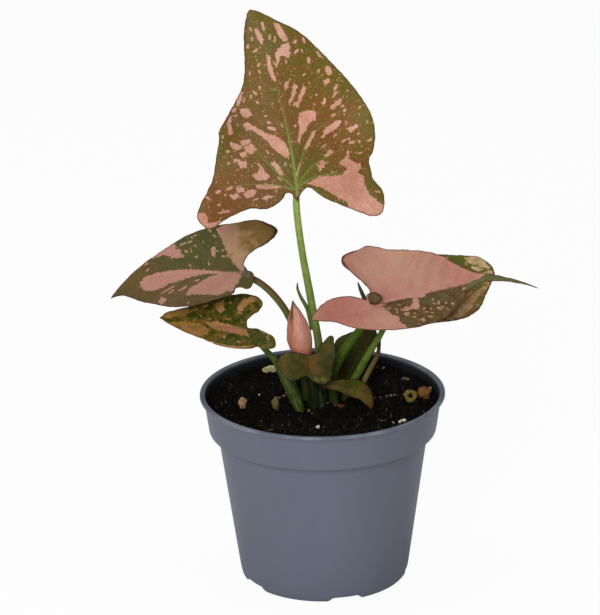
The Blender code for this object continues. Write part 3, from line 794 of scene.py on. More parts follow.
@dataclass(frozen=True)
class Blade:
    """One leaf blade: its place, its creased and curled shape, its veins and its splashes.

    Sides, veins, patches and holes are runs of x and y on the flat blade, and stains of x, y and
    half width at both ends. Flecks are two half widths, then x and y at both ends. Swells,
    tints, blushes and lights and shades are spots: x, y, radius and strength, in millimetres.
    Lights and shades scale the skin's brightness: mostly painted light, brighter for painted
    highlights and sheen, darker for painted shade in creases and folds; the rest are the blade's
    own darker or paler patches.
    """

    node: str
    joint: Place
    bearing: float
    rise: float
    roll: float
    slopes: Point
    finish: LeafFinish
    slot: Slot
    right: Run
    left: Run
    curl: Point = (0.0, 0.0)
    bend: Point = (0.0, 0.0)
    sweep: float = 0.0
    swells: Run = ()
    veins: tuple[Run, ...] = ()
    reach: float = 60.0
    vein_gap: float = 8.0
    quilt: float = 0.22
    patches: tuple[Run, ...] = ()
    flecks: tuple[Run, ...] = ()
    holes: tuple[Run, ...] = ()
    stains: Run = ()
    tints: Run = ()
    blushes: Run = ()
    # spots of painted light and shade, with some of the blade's own darker or paler patches
    lights_and_shades: Run = ()
    waver: float = 0.28
    thickness: float = 0.5
    step: float = 0.6
    crease: float = 2.0
    foot: float = -3.0

    def axes(self) -> tuple[Vector, Vector, Vector]:
        """The blade's own directions.

        Returns:
            Across, along and up from its face.
        """
        bearing, rise = math.radians(self.bearing), math.radians(self.rise)
        along = Vector((math.cos(rise) * math.cos(bearing), math.cos(rise) * math.sin(bearing),
                        math.sin(rise)))
        across = Vector((math.sin(bearing), -math.cos(bearing), 0.0))
        across = Matrix.Rotation(-math.radians(self.roll), 3, along) @ across
        return across, along, across.cross(along)

    def face_height(self, flat: Array) -> Array:
        """Height of the blade's middle above its plane.

        Args:
            flat: Flat points.

        Returns:
            One height for each.
        """
        x, y = flat[:, 0], flat[:, 1]
        slope = np.where(x < 0, self.slopes[0], self.slopes[1])
        curl = np.where(x < 0, self.curl[0], self.curl[1])
        bend = np.where(y > 0, self.bend[0], self.bend[1])
        height = slope * (np.sqrt(x * x + self.crease**2) - self.crease) + curl * x * x
        return height + bend * y * y + spot_field(flat, self.swells)

    def outline(self) -> Array:
        """Draw the outline, its margin wavering a little.

        Returns:
            The outline's points.
        """
        right, left = (smooth_run(rows(side, 2) / TENTHS, self.step)
                       for side in (self.right, self.left))
        even = array_of(right + left[1:-1][::-1])
        run = np.roll(even, -1, axis=0) - np.roll(even, 1, axis=0)
        off = np.stack([run[:, 1], -run[:, 0]], axis=1)
        off /= np.maximum(np.hypot(run[:, 0], run[:, 1]), 1e-9)[:, None]
        wave = [noise.noise(Vector((x / 2.6, y / 2.6, 7.7)))
                + 0.5 * noise.noise(Vector((x / 1.1, y / 1.1, 2.2))) for x, y in even]
        return even + self.waver * np.array(wave)[:, None] * off

    def side_veins(self, outline: Array) -> list[Array]:
        """Fine veins that leave the midrib in pairs.

        Args:
            outline: The blade's outline.

        Returns:
            The veins' lines.
        """
        veins = []
        y = self.vein_gap
        while y < 0.88 * float(outline[:, 1].max()):
            for side in (-1.0, 1.0):
                reach = np.arange(0.0, 60.0, 1.2)
                start = y + (0.35 * self.vein_gap if side > 0 else 0.0)
                line = np.stack([side * reach, start + 0.42 * reach + 0.011 * reach**2], axis=1)
                kept = inside(line, outline)
                kept[0] = True
                stop = int(np.argmin(kept)) if not kept.all() else len(kept)
                if stop > 3:
                    veins.append(line[:stop])
            y += self.vein_gap
        return veins

    def inner_points(self, outline: Array, lines: Sequence[Array]) -> Array:
        """Points along the veins, then a grid clear of them.

        Args:
            outline: The blade's outline.
            lines: The midrib and the veins.

        Returns:
            The points.
        """
        low, high = outline.min(axis=0), outline.max(axis=0)
        ranks = []
        for rank, y in enumerate(np.arange(low[1], high[1], self.step * math.sqrt(0.75))):
            x = np.arange(low[0] + 0.5 * self.step * (rank % 2), high[0], self.step)
            ranks.append(np.stack([x, np.full_like(x, y)], axis=1))
        grid = np.concatenate(ranks)
        grid = grid[inside(grid, outline)]
        margin = [closed(outline)]
        grid = grid[distance_to_lines(grid, margin) > 0.55 * self.step]
        grid = grid[distance_to_lines(grid, lines) > 0.5 * self.step]
        kept = [np.full((1, 2), FAR)]
        for line in lines:
            run = array_of(smooth_run(line, self.step))
            run = run[inside(run, outline)]
            run = run[distance_to_lines(run, margin) > 0.5 * self.step]
            gaps = ((run[:, None] - np.concatenate(kept)) ** 2).sum(axis=2)
            kept.append(run[np.sqrt(gaps.min(axis=1)) > 0.45 * self.step])
        return np.concatenate([*kept[1:], grid])

    def shell(self, sides: Sequence[Array], faces: Sequence[Sequence[int]]) -> Mesh:
        """Close two skins into one shell.

        Args:
            sides: Places of the upper and the lower skin.
            faces: The triangles that both share.

        Returns:
            The shell's mesh.
        """
        count = len(sides[0])
        places = np.concatenate(sides) * MM + np.array((*pot_axis(), 0.0))
        margin, triangles = {}, []
        for face in faces:
            triangles += [tuple(face), tuple(i + count for i in reversed(face))]
            for a, b in zip(face, [*face[1:], face[0]]):
                if not margin.pop((b, a), False):
                    margin[(a, b)] = True
        for a, b in margin:
            triangles += [(b, a, a + count), (b, a + count, b + count)]
        mesh = bpy.data.meshes.new(self.node)
        mesh.from_pydata(places.tolist(), [], triangles)
        mesh.update()
        return mesh

    def build(self) -> None:
        """Build the blade as a closed shell and dress it."""
        outline = self.outline()
        midrib = np.stack([np.zeros(40), np.linspace(self.foot, float(outline[:, 1].max()), 40)],
                          axis=1)
        main_veins = [array_of(smooth_run(rows(vein, 2) / TENTHS, 1.5)) for vein in self.veins]
        fine_veins = self.side_veins(outline)
        inner = self.inner_points(outline, [midrib, *main_veins, *fine_veins])
        loop = list(range(len(outline)))
        points, _, faces, *_ = delaunay_2d_cdt(
            [Vector(p) for p in np.concatenate([outline, inner])],
            [(i, (i + 1) % len(outline)) for i in loop], [loop], 1, 1e-6)
        flat = array_of(points)
        margin = distance_to_lines(flat, [closed(outline)])
        to_rib = np.abs(flat[:, 0]) + np.where(flat[:, 1] < self.foot, 50.0, 0.0)
        to_main = distance_to_lines(flat, main_veins)
        to_any = np.minimum(distance_to_lines(flat, fine_veins), np.minimum(to_main, to_rib))
        fade = np.clip(1.0 - flat[:, 1] / self.reach, 0.0, 1.0)
        # the face swells between the veins, and the ribs stand out below it
        middle = self.face_height(flat) + self.quilt * (1.0 - np.exp(-(to_any / 2.4) ** 2))
        half = 0.5 * self.thickness * np.sqrt(np.clip(margin / 0.7, 0.05, 1.0))
        groove = (0.30 * np.exp(-(to_rib / 0.8) ** 2) * (0.3 + 0.7 * fade)
                  + 0.12 * np.exp(-(to_main / 0.6) ** 2))
        ridge = 0.9 * np.exp(-(to_rib / 1.1) ** 2) * fade + 0.2 * np.exp(-(to_main / 0.7) ** 2)
        across, along, normal = (np.array(tuple(v)) for v in self.axes())
        swept = flat[:, 0] + np.where(flat[:, 1] > 0, self.sweep * flat[:, 1] ** 2, 0.0)
        sheet = np.array(self.joint) + swept[:, None] * across + flat[:, 1:2] * along
        near = np.clip(margin / 1.5, 0.0, 1.0)
        mesh = self.shell([sheet + (middle + half - groove * near)[:, None] * normal,
                           sheet + (middle - half - ridge * near)[:, None] * normal], faces)
        splash = np.minimum(patch_field(flat, self.patches), -patch_field(flat, self.holes))
        rib = np.exp(-(to_rib / (0.28 + 0.35 * fade)) ** 2) * np.clip(1.5 * fade, 0.0, 1.0)
        for vein in main_veins:
            reach = np.hypot(*(vein[-1] - vein[0]))
            gone = np.clip(np.hypot(*(flat - vein[0]).T) / reach, 0.0, 1.0)
            near_vein = distance_to_lines(flat, [vein])
            rib = np.maximum(rib, 0.75 * (1.0 - gone) * np.exp(-(near_vein / 0.38) ** 2))
        # the shade fact is painted light and shade: above 1 for painted highlights and sheen,
        # below 1 for painted shade
        facts = {"splash": np.clip(splash, -8.0, 8.0), "margin": margin, "rib": rib,
                 "shade": 1.0 + spot_field(flat, self.lights_and_shades),
                 "tint": spot_field(flat, self.tints), "blush": spot_field(flat, self.blushes),
                 "flat": np.hstack([flat, np.zeros((len(flat), 1))])}
        flecks = [(x0, y0, wide, x1, y1, narrow) for wide, narrow, *ends in self.flecks
                  for x0, y0, x1, y1 in rows(ends, 4)]
        for key, strokes in (("fleck", flecks), ("stain", rows(self.stains, 6))):
            facts[key] = np.clip(stroke_field(flat, np.array(strokes) / TENTHS), -4.0, 4.0)
        store(mesh, upper=np.repeat((1.0, 0.0), len(flat)),
              **{key: np.concatenate([values, values]) for key, values in facts.items()})
        finish_piece(self.node.replace("_blade", "_skin"), mesh, self.finish.build(),
                     self.node)


@dataclass(frozen=True)
class LobeFold:
    """A small round fold of blade that stands up where a stalk meets its leaf."""

    name: str
    centre: Place
    half: Point
    facing: Place
    finish: LeafFinish
    slot: Slot
    cup: float = 0.7
    rings: int = 9
    steps: int = 44

    def build(self) -> None:
        """Build the fold as a closed, cupped disc."""
        normal = Vector(self.facing).normalized()
        across = Vector((0.0, 0.0, 1.0)).cross(normal).normalized()
        up = normal.cross(across)
        rings, flats = [], []
        shares = [(ring + 1) / self.rings for ring in range(self.rings)]
        for side, share in [(1.0, s) for s in shares] + [(-1.0, s) for s in shares[::-1]]:
            ring = []
            for turn in (TURN * k / self.steps for k in range(self.steps)):
                wave = 1.0 + 0.06 * math.sin(3 * turn + 1.0) + 0.04 * math.sin(5 * turn)
                x = self.half[0] * share * wave * math.cos(turn)
                y = self.half[1] * share * wave * math.sin(turn)
                thick = 0.35 * math.sqrt(max(1.0 - share**4, 0.02))
                height = -self.cup * share**2 + 0.25 * math.sin(2.2 * x) * share
                ring.append(placed(Vector(self.centre) + across * x + up * y
                                   + normal * (height + side * thick)))
                flats.append((x, y, share))
            rings.append(ring)
        mesh = tube(self.name, rings)
        flat = np.array(flats)
        level = np.ones(len(flat))
        store(mesh, flat=flat, margin=(1.0 - flat[:, 2]) * min(self.half),
              splash=-3.0 * level, fleck=-4.0 * level, stain=-4.0 * level, shade=level,
              upper=level, rib=0.0 * level, tint=0.0 * level, blush=0.0 * level)
        finish_piece(self.name, mesh, self.finish.build())


# ---- stalks ----

@dataclass(frozen=True)
class Route:
    """A smooth path with a radius at each of its points."""

    points: Run
    radii: Run


@dataclass(frozen=True)
class Stalk:
    """One leaf stalk, and the free tip of its sheath."""

    node: str
    route: Route
    finish: StalkFinish
    slot: Slot = Slot.STALK
    blade: Blade | None = None
    tip: Route | None = None
    approach: float = 4.0
    channel: float = 0.16
    step: float = 2.0
    sides: int = 24

    def paths(self) -> list[tuple[Array, Run]]:
        """Paths of the stalk, led on under the blade as its midrib, and of its tip.

        Returns:
            Each path's points and radii.
        """
        points, radii = rows(self.route.points, 3) / TENTHS, self.route.radii
        if self.blade is not None:
            _, along, normal = self.blade.axes()
            joint, radius = Vector(self.blade.joint), radii[-1]
            rib = float(self.blade.face_height(np.array([(0.0, 5.0)]))[0])
            more = (joint + along * -self.approach + normal * -(1.9 * radius + 0.9),
                    joint + normal * -(0.9 * radius + 0.35) + along * 0.4,
                    joint + along * 5.0 + normal * (rib - 0.35 * radius - 0.35))
            points = np.concatenate([points, array_of(more)])
            radii = (*radii, radius, 0.95 * radius, 0.45 * radius)
        paths = [(points, radii)]
        if self.tip is not None:
            paths.append((rows(self.tip.points, 3) / TENTHS, self.tip.radii))
        return paths

    def host(self) -> Mesh:
        """The paths as edges that carry the radii, to grow on.

        Returns:
            The host mesh.
        """
        places, edges, thick, ripe = [], [], [], []
        for number, (points, radii) in enumerate(self.paths()):
            first = len(places)
            places += [placed(p) for p in smooth_run(points, self.step)]
            thick += [r * MM for r in spread(radii, points, self.step)]
            edges += [(i, i + 1) for i in range(first, len(places) - 1)]
            ripe += [float(number)] * (len(places) - first)
        mesh = bpy.data.meshes.new(self.node + "_path")
        mesh.from_pydata([tuple(p) for p in places], edges, [])
        store(mesh, thick=thick, ripe=ripe)
        return mesh

    @staticmethod
    @cache
    def growth() -> Growth:
        """Set out how stalks grow: a channelled tube along a path.

        Returns:
            The growth.
        """
        growth = Growth("stalk_growth", "Channel", Sides="Int")
        add, given = growth.add, growth.given
        path = add("MeshToCurve", given["Geometry"])
        share = add("SplineParameter")
        path = add("StoreNamedAttribute", path, Name="along", Value=share)
        ring = add("CurvePrimitiveCircle", given["Sides"], Radius=1.0)
        turn = add("SplineParameter")
        off = add("Math:ABSOLUTE", add("Math:SUBTRACT", turn, 0.7))
        full = add("Math:SUBTRACT", 1.0, given["Channel"])
        scale = add("MapRange", off, 0.0, 0.1, full, 1.0, interpolation_type="SMOOTHSTEP")
        spot = add("InputPosition")
        drawn = add("VectorMath:SCALE", spot, Scale=scale)
        ring = add("SetPosition", ring, Position=drawn)
        ring = add("StoreNamedAttribute", ring, Name="around", Value=turn)
        thick = add("InputNamedAttribute", "thick")
        return growth.end(add("CurveToMesh", Curve=path, Profile_Curve=ring,
                              Scale=thick, Fill_Caps=True))

    def build(self) -> None:
        """Grow the stalk and dress it."""
        material = self.finish.build()
        mesh = outward(self.growth().grow(self.host(), Sides=self.sides,
                                          Channel=self.channel, Finish=material))
        store(mesh, sunny=[0.5 + 0.5 * v.normal.z for v in mesh.vertices])
        finish_piece(self.node + "_skin", mesh, material, self.node)


@dataclass(frozen=True)
class FurledLeaf:
    """The young leaf, still rolled, its outer edge lapping over."""

    points: Run
    wide: Run
    deep: Run
    finish: RolledFinish = RolledFinish()
    lap: float = 0.16
    seam: float = 4.15
    twist: float = 0.5
    sides: int = 72
    step: float = 0.8

    def build(self) -> None:
        """Build the roll with a ledge along its seam."""
        points = rows(self.points, 3) / TENTHS
        path = smooth_run(points, self.step)
        wide, deep = (spread(radii, points, self.step) for radii in (self.wide, self.deep))
        rings, shares, turns = [], [], []
        for i, middle in enumerate(path):
            share = i / (len(path) - 1)
            ring = []
            for k in range(self.sides):
                turn = k / (self.sides - 1)
                angle = self.seam + self.twist * (share - 0.5) + TURN * turn
                swell = 1.0 + self.lap * (turn - 0.5) * min(1.0, 3.0 * (1.0 - share) + 0.3)
                swell *= 1.0 + 0.025 * math.sin(5 * angle + 2.0 * share)
                ring.append(placed(middle + Vector((wide[i] * swell * math.cos(angle),
                                                    deep[i] * swell * math.sin(angle), 0.0))))
                shares.append(share)
                turns.append(turn)
            rings.append(ring)
        mesh = tube("furled_leaf_roll", rings)
        store(mesh, along=shares, around=turns)
        finish_piece("furled_leaf_roll", mesh, self.finish.build(), "furled_leaf")


# ---- pot ----

@dataclass(frozen=True)
class NurseryPot:
    """A round moulded pot with a thin lip, a deep collar and a notched foot ring."""

    height: float = 93.9
    wall: float = 0.9
    lip_radius: float = 59.8
    lip_inner: float = 57.6
    lip_depth: float = 1.25
    collar_top: float = 57.9
    collar_low: float = 55.6
    collar_z: float = 75.4
    body_top: float = 51.5
    foot_radius: float = 41.7
    foot_z: float = 4.6
    ring_outer: float = 40.4
    ring_inner: float = 38.8
    floor_z: float = 2.4
    floor_thickness: float = 1.2
    notches: int = 5
    notch_half: float = 9.0
    notch_rise: float = 2.0
    notch_first: float = -76.0
    drains: int = 8
    drain_radius: float = 3.5
    drain_circle: float = 27.0
    steps: int = 240
    merge: float = 0.00001
    finish: MouldedPlastic = MouldedPlastic()

    def profile(self) -> list[Point]:
        """The wall's section.

        Returns:
            Radius and height round it.
        """
        top, ledge, wall = self.height, self.collar_z, self.wall
        lip_low, base = top - self.lip_depth, self.floor_z
        base_top = base + self.floor_thickness
        lip, mouth, neck, low = self.lip_radius, self.lip_inner, self.collar_top, self.collar_low
        body, foot, foot_z, ring = self.body_top, self.foot_radius, self.foot_z, self.ring_inner
        return [(0.0, base_top), (foot - wall - 1.2, base_top), (foot - wall, foot_z + 0.8),
                (body - wall, ledge + wall - 0.4), (body - wall + 0.4, ledge + wall),
                (low - wall - 0.4, ledge + wall + 0.1), (low - wall, ledge + wall + 0.6),
                (neck - wall, lip_low), (mouth - 0.35, top - 0.4), (mouth - 0.15, top - 0.1),
                (mouth + 0.1, top), (lip - 0.6, top), (lip - 0.22, top - 0.1),
                (lip - 0.06, top - 0.28), (lip, top - 0.5), (lip, lip_low + 0.2),
                (lip - 0.2, lip_low), (neck + 0.25, lip_low - 0.05), (neck, lip_low - 0.4),
                (low, ledge + 0.6), (low - 0.15, ledge + 0.2), (low - 0.6, ledge),
                (body + 0.5, ledge - 0.1), (body - 0.05, ledge - 0.7), (foot, foot_z),
                (foot - 0.25, foot_z - 1.4), (self.ring_outer + 0.5, 0.7),
                (self.ring_outer - 0.1, 0.0), (ring, 0.0), (ring - 0.4, base - 0.2),
                (ring - 0.8, base), (0.0, base)]

    def section(self) -> Mesh:
        """The wall's section, its long runs divided.

        Returns:
            The host mesh.
        """
        profile = self.profile()
        points = []
        for (r0, z0), (r1, z1) in zip(profile, profile[1:]):
            count = max(1, round(math.hypot(r1 - r0, z1 - z0) / 4.0))
            points += [((r0 + (r1 - r0) * k / count - self.lip_radius) * MM,
                        -(z0 + (z1 - z0) * k / count) * MM, 0.0) for k in range(count)]
        points.append(((profile[-1][0] - self.lip_radius) * MM, -profile[-1][1] * MM, 0.0))
        host = bpy.data.meshes.new("pot_section")
        host.from_pydata(points, [(i, i + 1) for i in range(len(points) - 1)], [])
        return host

    def growth(self) -> Growth:
        """Set out the pot: its section turned, notches lifted, holes drilled.

        Returns:
            The growth.
        """
        growth = Growth("pot_moulding", "Radius", "Notches", "Notch Half", "Notch Rise",
                        "First Notch", "Drain Radius", "Drain Circle", Steps="Int", Drains="Int")
        add, given = growth.add, growth.given
        section = add("MeshToCurve", given["Geometry"])
        circle = add("CurvePrimitiveCircle", given["Steps"], Radius=given["Radius"])
        wall = add("CurveToMesh", circle, section)
        wall = add("MergeByDistance", wall, Distance=self.merge)
        x = add("SeparateXYZ", add("InputPosition"), out="X")
        y, z = x.node.outputs["Y"], x.node.outputs["Z"]
        angle = add("Math:ARCTAN2", y, x)
        angle = add("Math:SUBTRACT", angle, given["First Notch"])
        pitch = add("Math:DIVIDE", TURN, given["Notches"])
        half = add("Math:MULTIPLY", pitch, 0.5)
        angle = add("Math:FLOORED_MODULO", add("Math", angle, half), pitch)
        angle = add("Math:ABSOLUTE", add("Math:SUBTRACT", angle, half))
        far = add("Math", given["Notch Half"], 0.05)
        lift = add("MapRange", angle, given["Notch Half"], far, given["Notch Rise"], 0.0)
        place = add("CombineXYZ", x, y, add("Math:MAXIMUM", z, lift))
        wall = add("SetPosition", wall, Position=place)
        ring = add("MeshCircle", given["Drains"], given["Drain Circle"])
        drill = add("MeshCylinder", Vertices=32, Radius=given["Drain Radius"], Depth=0.016)
        drills = add("RealizeInstances", add("InstanceOnPoints", Points=ring, Instance=drill))
        return growth.end(add("MeshBoolean:DIFFERENCE", Mesh_1=wall, Mesh_2=drills,
                              solver="EXACT"))

    def facts(self, place: Vector) -> tuple[float, float]:
        """How deep a place lies in the painted shade inside the pot, and how near the lip's edge,
        where the painted highlight lies.

        Args:
            place: The place in metres about the axis.

        Returns:
            Both, from 0 to 1.
        """
        height, lip_low = place.z / MM, self.height - self.lip_depth
        edge = min(1.0, max(0.0, (height - lip_low + 0.4) / 0.5))
        share = (height - self.collar_z) / (lip_low - self.collar_z)
        outside = self.collar_low + share * (self.collar_top - self.collar_low)
        if height < self.collar_z + 0.5 * self.wall:
            outside = self.body_top - 1.0
        within = math.hypot(place.x, place.y) / MM < outside - 0.5 * self.wall
        if not within or not 70.0 < height < self.height - 0.5:
            return 0.0, edge
        return min(1.0, max(0.0, 0.35 + (lip_low - height) / 9.0)), edge

    def build(self) -> None:
        """Mould the pot and dress it."""
        material = self.finish.build()
        mesh = outward(self.growth().grow(
            self.section(), Steps=self.steps, Radius=self.lip_radius * MM,
            Notches=float(self.notches), Notch_Half=math.radians(self.notch_half),
            Notch_Rise=self.notch_rise * MM, First_Notch=math.radians(self.notch_first),
            Drains=self.drains, Drain_Radius=self.drain_radius * MM,
            Drain_Circle=self.drain_circle * MM, Finish=material), self.merge)
        inner, edge = zip(*(self.facts(v.co) for v in mesh.vertices))
        store(mesh, inner=inner, edge=edge)
        mesh.transform(Matrix.Translation((*pot_axis(), 0.0)))
        finish_piece("pot_moulded", mesh, material, "pot")
        mesh.set_sharp_from_angle(angle=math.radians(32.0))


# ---- soil and what lies on it ----

@dataclass(frozen=True)
class SoilPlug:
    """The potting soil, dished up to the wall and broken into clods."""

    level: float = 86.3
    dish: float = 3.2
    relief: float = 0.9
    lump: float = 17.0
    calm: float = 24.0
    radius: float = 55.9
    rings: int = 62
    steps: int = 200
    clod: float = 1.0
    mound: float = 3.6
    finish: LooseMatter = LooseMatter("peat_soil", "#060504", "#15110d", 1.6, 0.95, 0.9)

    def ground(self, x: float, y: float) -> float:
        """Height of the smooth soil.

        Args:
            x: Across the pot.
            y: Back from its front.

        Returns:
            The height at the place.
        """
        distance = math.hypot(x, y)
        calm = min(1.0, max(0.0, distance / self.calm - 0.6))
        lump = noise.noise(Vector((x / self.lump, y / self.lump, 0.37)))
        mound = self.mound * math.exp(-((x - 1.0) ** 2 + (y + 7.5) ** 2) / 42.0)
        return (self.level + self.dish * (distance / 56.0) ** 4 + self.relief * calm * lump
                + mound)

    def surface(self, x: float, y: float) -> Vector:
        """The cloddy surface at a place, in metres in the frame."""
        rough = noise.turbulence(Vector((x / 4.2, y / 4.2, 1.7)), 4, False)
        return placed((x, y, self.ground(x, y) + self.clod * (rough - 0.55)))

    def top(self) -> Mesh:
        """The soil's top alone, to strew litter on.

        Returns:
            The top's mesh.
        """
        places = [self.surface(0.0, 0.0)]
        faces = []
        for ring in range(1, self.rings + 1):
            radius = self.radius * ring / self.rings
            for k in range(self.steps):
                turn = TURN * k / self.steps
                places.append(self.surface(radius * math.cos(turn), radius * math.sin(turn)))
        for k in range(self.steps):
            after = (k + 1) % self.steps
            faces.append((0, 1 + k, 1 + after))
            for ring in range(self.rings - 1):
                a, b = 1 + ring * self.steps, 1 + (ring + 1) * self.steps
                faces.append((a + k, b + k, b + after, a + after))
        mesh = bpy.data.meshes.new("soil_top")
        mesh.from_pydata([tuple(p) for p in places], [], faces)
        mesh.update()
        return mesh

    def build(self, pot: NurseryPot) -> None:
        """Build the plug and dress it.

        Args:
            pot: The pot that it fills.
        """
        x, y = pot_axis()
        work = bmesh.new()
        work.from_mesh(self.top())
        rim = [e for e in work.edges if e.is_boundary]
        ledge, gap = pot.collar_z + pot.wall + 0.5, pot.wall + 0.6
        for radius, height in ((pot.collar_top - pot.wall - 2.1, 84.0),
                               (pot.collar_low - gap, ledge), (pot.body_top - gap, ledge),
                               (pot.foot_radius - gap, pot.foot_z + 1.0), (38.0, 3.95)):
            grown = bmesh.ops.extrude_edge_only(work, edges=rim)["geom"]
            verts = [g for g in grown if isinstance(g, BMVert)]
            rim = [g for g in grown if isinstance(g, BMEdge)
                   and g.verts[0] in verts and g.verts[1] in verts]
            for vert in verts:
                way = Vector((vert.co.x - x, vert.co.y - y)).normalized()
                vert.co = placed((way.x * radius, way.y * radius, height))
        bmesh.ops.contextual_create(work, geom=rim)
        mesh = settle(work, "soil_plug")
        store(mesh, tone=np.zeros(len(mesh.vertices)))
        finish_piece("soil_plug", mesh, self.finish.build(), "potting_soil")


@dataclass(frozen=True)
class Strewing:
    """One kind of litter on the soil: how thick it lies, how large, and its look."""

    kind: Litter
    density: float
    least: float
    greatest: float
    seed: int
    finish: LooseMatter
    sink: float = 0.0
    variants: int = 5

    @staticmethod
    def fibre(variant: int) -> Mesh:
        """Shape one thin bent fibre, 1 long.

        Args:
            variant: Which one.

        Returns:
            The fibre.
        """
        rings = []
        for k in range(7):
            middle = Vector((-0.5 + k / 6, 0.16 * math.sin(1.1 * k + variant),
                             0.10 * math.cos(1.7 * k + 2 * variant)))
            thin = 0.022 * (1.2 - abs(k - 3) / 3)
            rings.append([middle + thin * Vector((0.0, math.cos(turn), math.sin(turn)))
                          for turn in (0.0, TURN / 3, 2 * TURN / 3)])
        return tube("fibre", rings)

    def crumb(self, variant: int) -> Mesh:
        """Shape one rough crumb, 1 across.

        Args:
            variant: Which one.

        Returns:
            The crumb.
        """
        work = bmesh.new()
        bmesh.ops.create_icosphere(work, subdivisions=1, radius=0.5)
        for vert in work.verts:
            rough = noise.noise(vert.co * 2.3 + Vector((variant * 9.1, 0.0, 4.0)))
            vert.co *= 1.0 + 0.55 * rough
            vert.co.z *= 0.9 if self.kind is Litter.GRAIN else 0.62
        return settle(work, "crumb")

    def shapes(self) -> Collection:
        """Make the shapes that are strewn.

        Returns:
            A collection of them that no scene holds.
        """
        holder = bpy.data.collections.new(self.kind.value + "_shapes")
        for variant in range(self.variants):
            mesh = (self.fibre if self.kind is Litter.FIBRE else self.crumb)(variant)
            holder.objects.link(bpy.data.objects.new(f"{self.kind.value}_{variant}", mesh))
        return holder

    @staticmethod
    @cache
    def growth() -> Growth:
        """Set out how litter is strewn, each bit turned, sized and toned.

        Returns:
            The growth.
        """
        growth = Growth("soil_litter", "Density", "Least", "Greatest", "Sink", Seed="Int",
                        Shapes="Collection")
        add, given = growth.add, growth.given
        points = add("DistributePointsOnFaces", given["Geometry"],
                     Density=given["Density"], Seed=given["Seed"], out="Points")
        shapes = add("CollectionInfo", given["Shapes"], Separate_Children=True,
                     Reset_Children=True)
        turn = add("RandomValue", at={1: (6.28, 6.28, 6.28)}, Seed=given["Seed"],
                   data_type="FLOAT_VECTOR")
        lot = add("RandomValue", Seed=given["Seed"], out=1, data_type="FLOAT")
        size = add("MapRange", add("Math:POWER", lot, 2.6),
                   To_Min=given["Least"], To_Max=given["Greatest"])
        strewn = add("InstanceOnPoints", Points=points, Instance=shapes,
                     Pick_Instance=True, Rotation=turn, Scale=size)
        tone = add("RandomValue", at={2: 0.0, 3: 1.0}, Seed=77, out=1, data_type="FLOAT")
        strewn = add("StoreNamedAttribute", strewn, Name="tone",
                     Value=add("Math:POWER", tone, 3.0), domain="INSTANCE")
        strewn = add("TranslateInstances", strewn, Local_Space=False,
                     Translation=add("CombineXYZ", Z=given["Sink"]))
        return growth.end(strewn)

    def build(self, host: Mesh) -> None:
        """Strew this litter and dress it.

        Args:
            host: The soil's top.
        """
        holder, material = self.shapes(), self.finish.build()
        mesh = self.growth().grow(
            host, Density=self.density, Least=self.least * MM, Greatest=self.greatest * MM,
            Sink=self.sink * MM, Seed=self.seed, Shapes=holder, Finish=material)
        for shape in list(holder.objects):
            bpy.data.objects.remove(shape)
        bpy.data.collections.remove(holder)
        finish_piece(self.kind.value, mesh, material, smooth=False)


@dataclass(frozen=True)
class Lump:
    """Rough bits on the soil, each x, y and half its width, depth and height."""

    name: str
    bits: Run
    finish: LooseMatter
    seed: int
    node: str = ""
    turn: float = 0.0
    detail: int = 4
    rough: float = 0.34

    def build(self, soil: SoilPlug) -> None:
        """Build the bits and dress them.

        Args:
            soil: The soil that they lie on.
        """
        work = bmesh.new()
        for number, (x, y, wide, deep, high) in enumerate(rows(self.bits, 5) / TENTHS):
            made = bmesh.ops.create_icosphere(work, subdivisions=self.detail, radius=1.0)
            turn = Matrix.Rotation(math.radians(self.turn + 47.0 * number), 3, "Z")
            middle = Vector((x, y, soil.ground(x, y) + 0.7 * high))
            offset = Vector((self.seed * 7.0 + 3.1 * number, 0.0, 0.0))
            for vert in made["verts"]:
                bulk = 1.0 + sum(share * noise.noise(vert.co * scale + offset)
                                 for scale, share in ((1.4, 0.30), (4.2, 0.35 * self.rough),
                                                      (10.0, 0.16 * self.rough)))
                local = Vector((vert.co.x * wide, vert.co.y * deep, vert.co.z * high)) * bulk
                vert.co = placed(middle + turn @ local)
        mesh = settle(work, self.name)
        store(mesh, tone=np.full(len(mesh.vertices), 0.3))
        finish_piece(self.name, mesh, self.finish.build(), self.node)


@dataclass(frozen=True)
class CurledBark:
    """A ring of bark that curled as it dried, leaning on the soil."""

    x: float
    y: float
    ring_radius: float
    tube_radius: float
    tilt: float
    finish: LooseMatter
    around: int = 64
    across: int = 28

    def build(self, soil: SoilPlug) -> None:
        """Build the ring and dress it.

        Args:
            soil: The soil that it leans on.
        """
        tilt = Matrix.Rotation(math.radians(self.tilt), 3, "X")
        middle = Vector((self.x, self.y, soil.ground(self.x, self.y)
                         + 0.85 * (self.ring_radius + self.tube_radius)))
        rings = []
        for turn in (TURN * k / self.around for k in range(self.around)):
            ring = []
            for angle in (TURN * j / self.across for j in range(self.across)):
                spot = Vector((math.cos(turn) * 2.0, math.sin(turn) * 2.0, angle))
                fat = self.tube_radius * (1.0 + 0.25 * math.sin(3 * turn + 0.6))
                fat *= 1.0 + 0.22 * noise.noise(spot * 1.6) + 0.10 * noise.noise(spot * 5.0)
                radius = self.ring_radius + fat * math.cos(angle)
                local = Vector((radius * math.cos(turn), radius * math.sin(turn),
                                fat * math.sin(angle)))
                ring.append(placed(middle + tilt @ local))
            rings.append(ring)
        mesh = tube("curled_bark", rings, caps=False)
        store(mesh, tone=np.full(len(mesh.vertices), 0.3))
        finish_piece("curled_bark", mesh, self.finish.build(), "ring_bark_chip")


# ---- studio ----

@dataclass(frozen=True)
class Lamp:
    """A square soft light: its place and aim and side in metres, its power in watts."""

    name: str
    place: Place
    aim: Place
    size: float
    power: float

    def hang(self) -> None:
        """Hang the lamp."""
        light = bpy.data.lights.new(self.name, "AREA")
        light.shape, light.size, light.energy = "SQUARE", self.size, self.power
        lamp = stand(self.name, light)
        lamp.location = self.place
        way = Vector(self.aim) - Vector(self.place)
        lamp.rotation_euler = way.to_track_quat("-Z", "Y").to_euler()


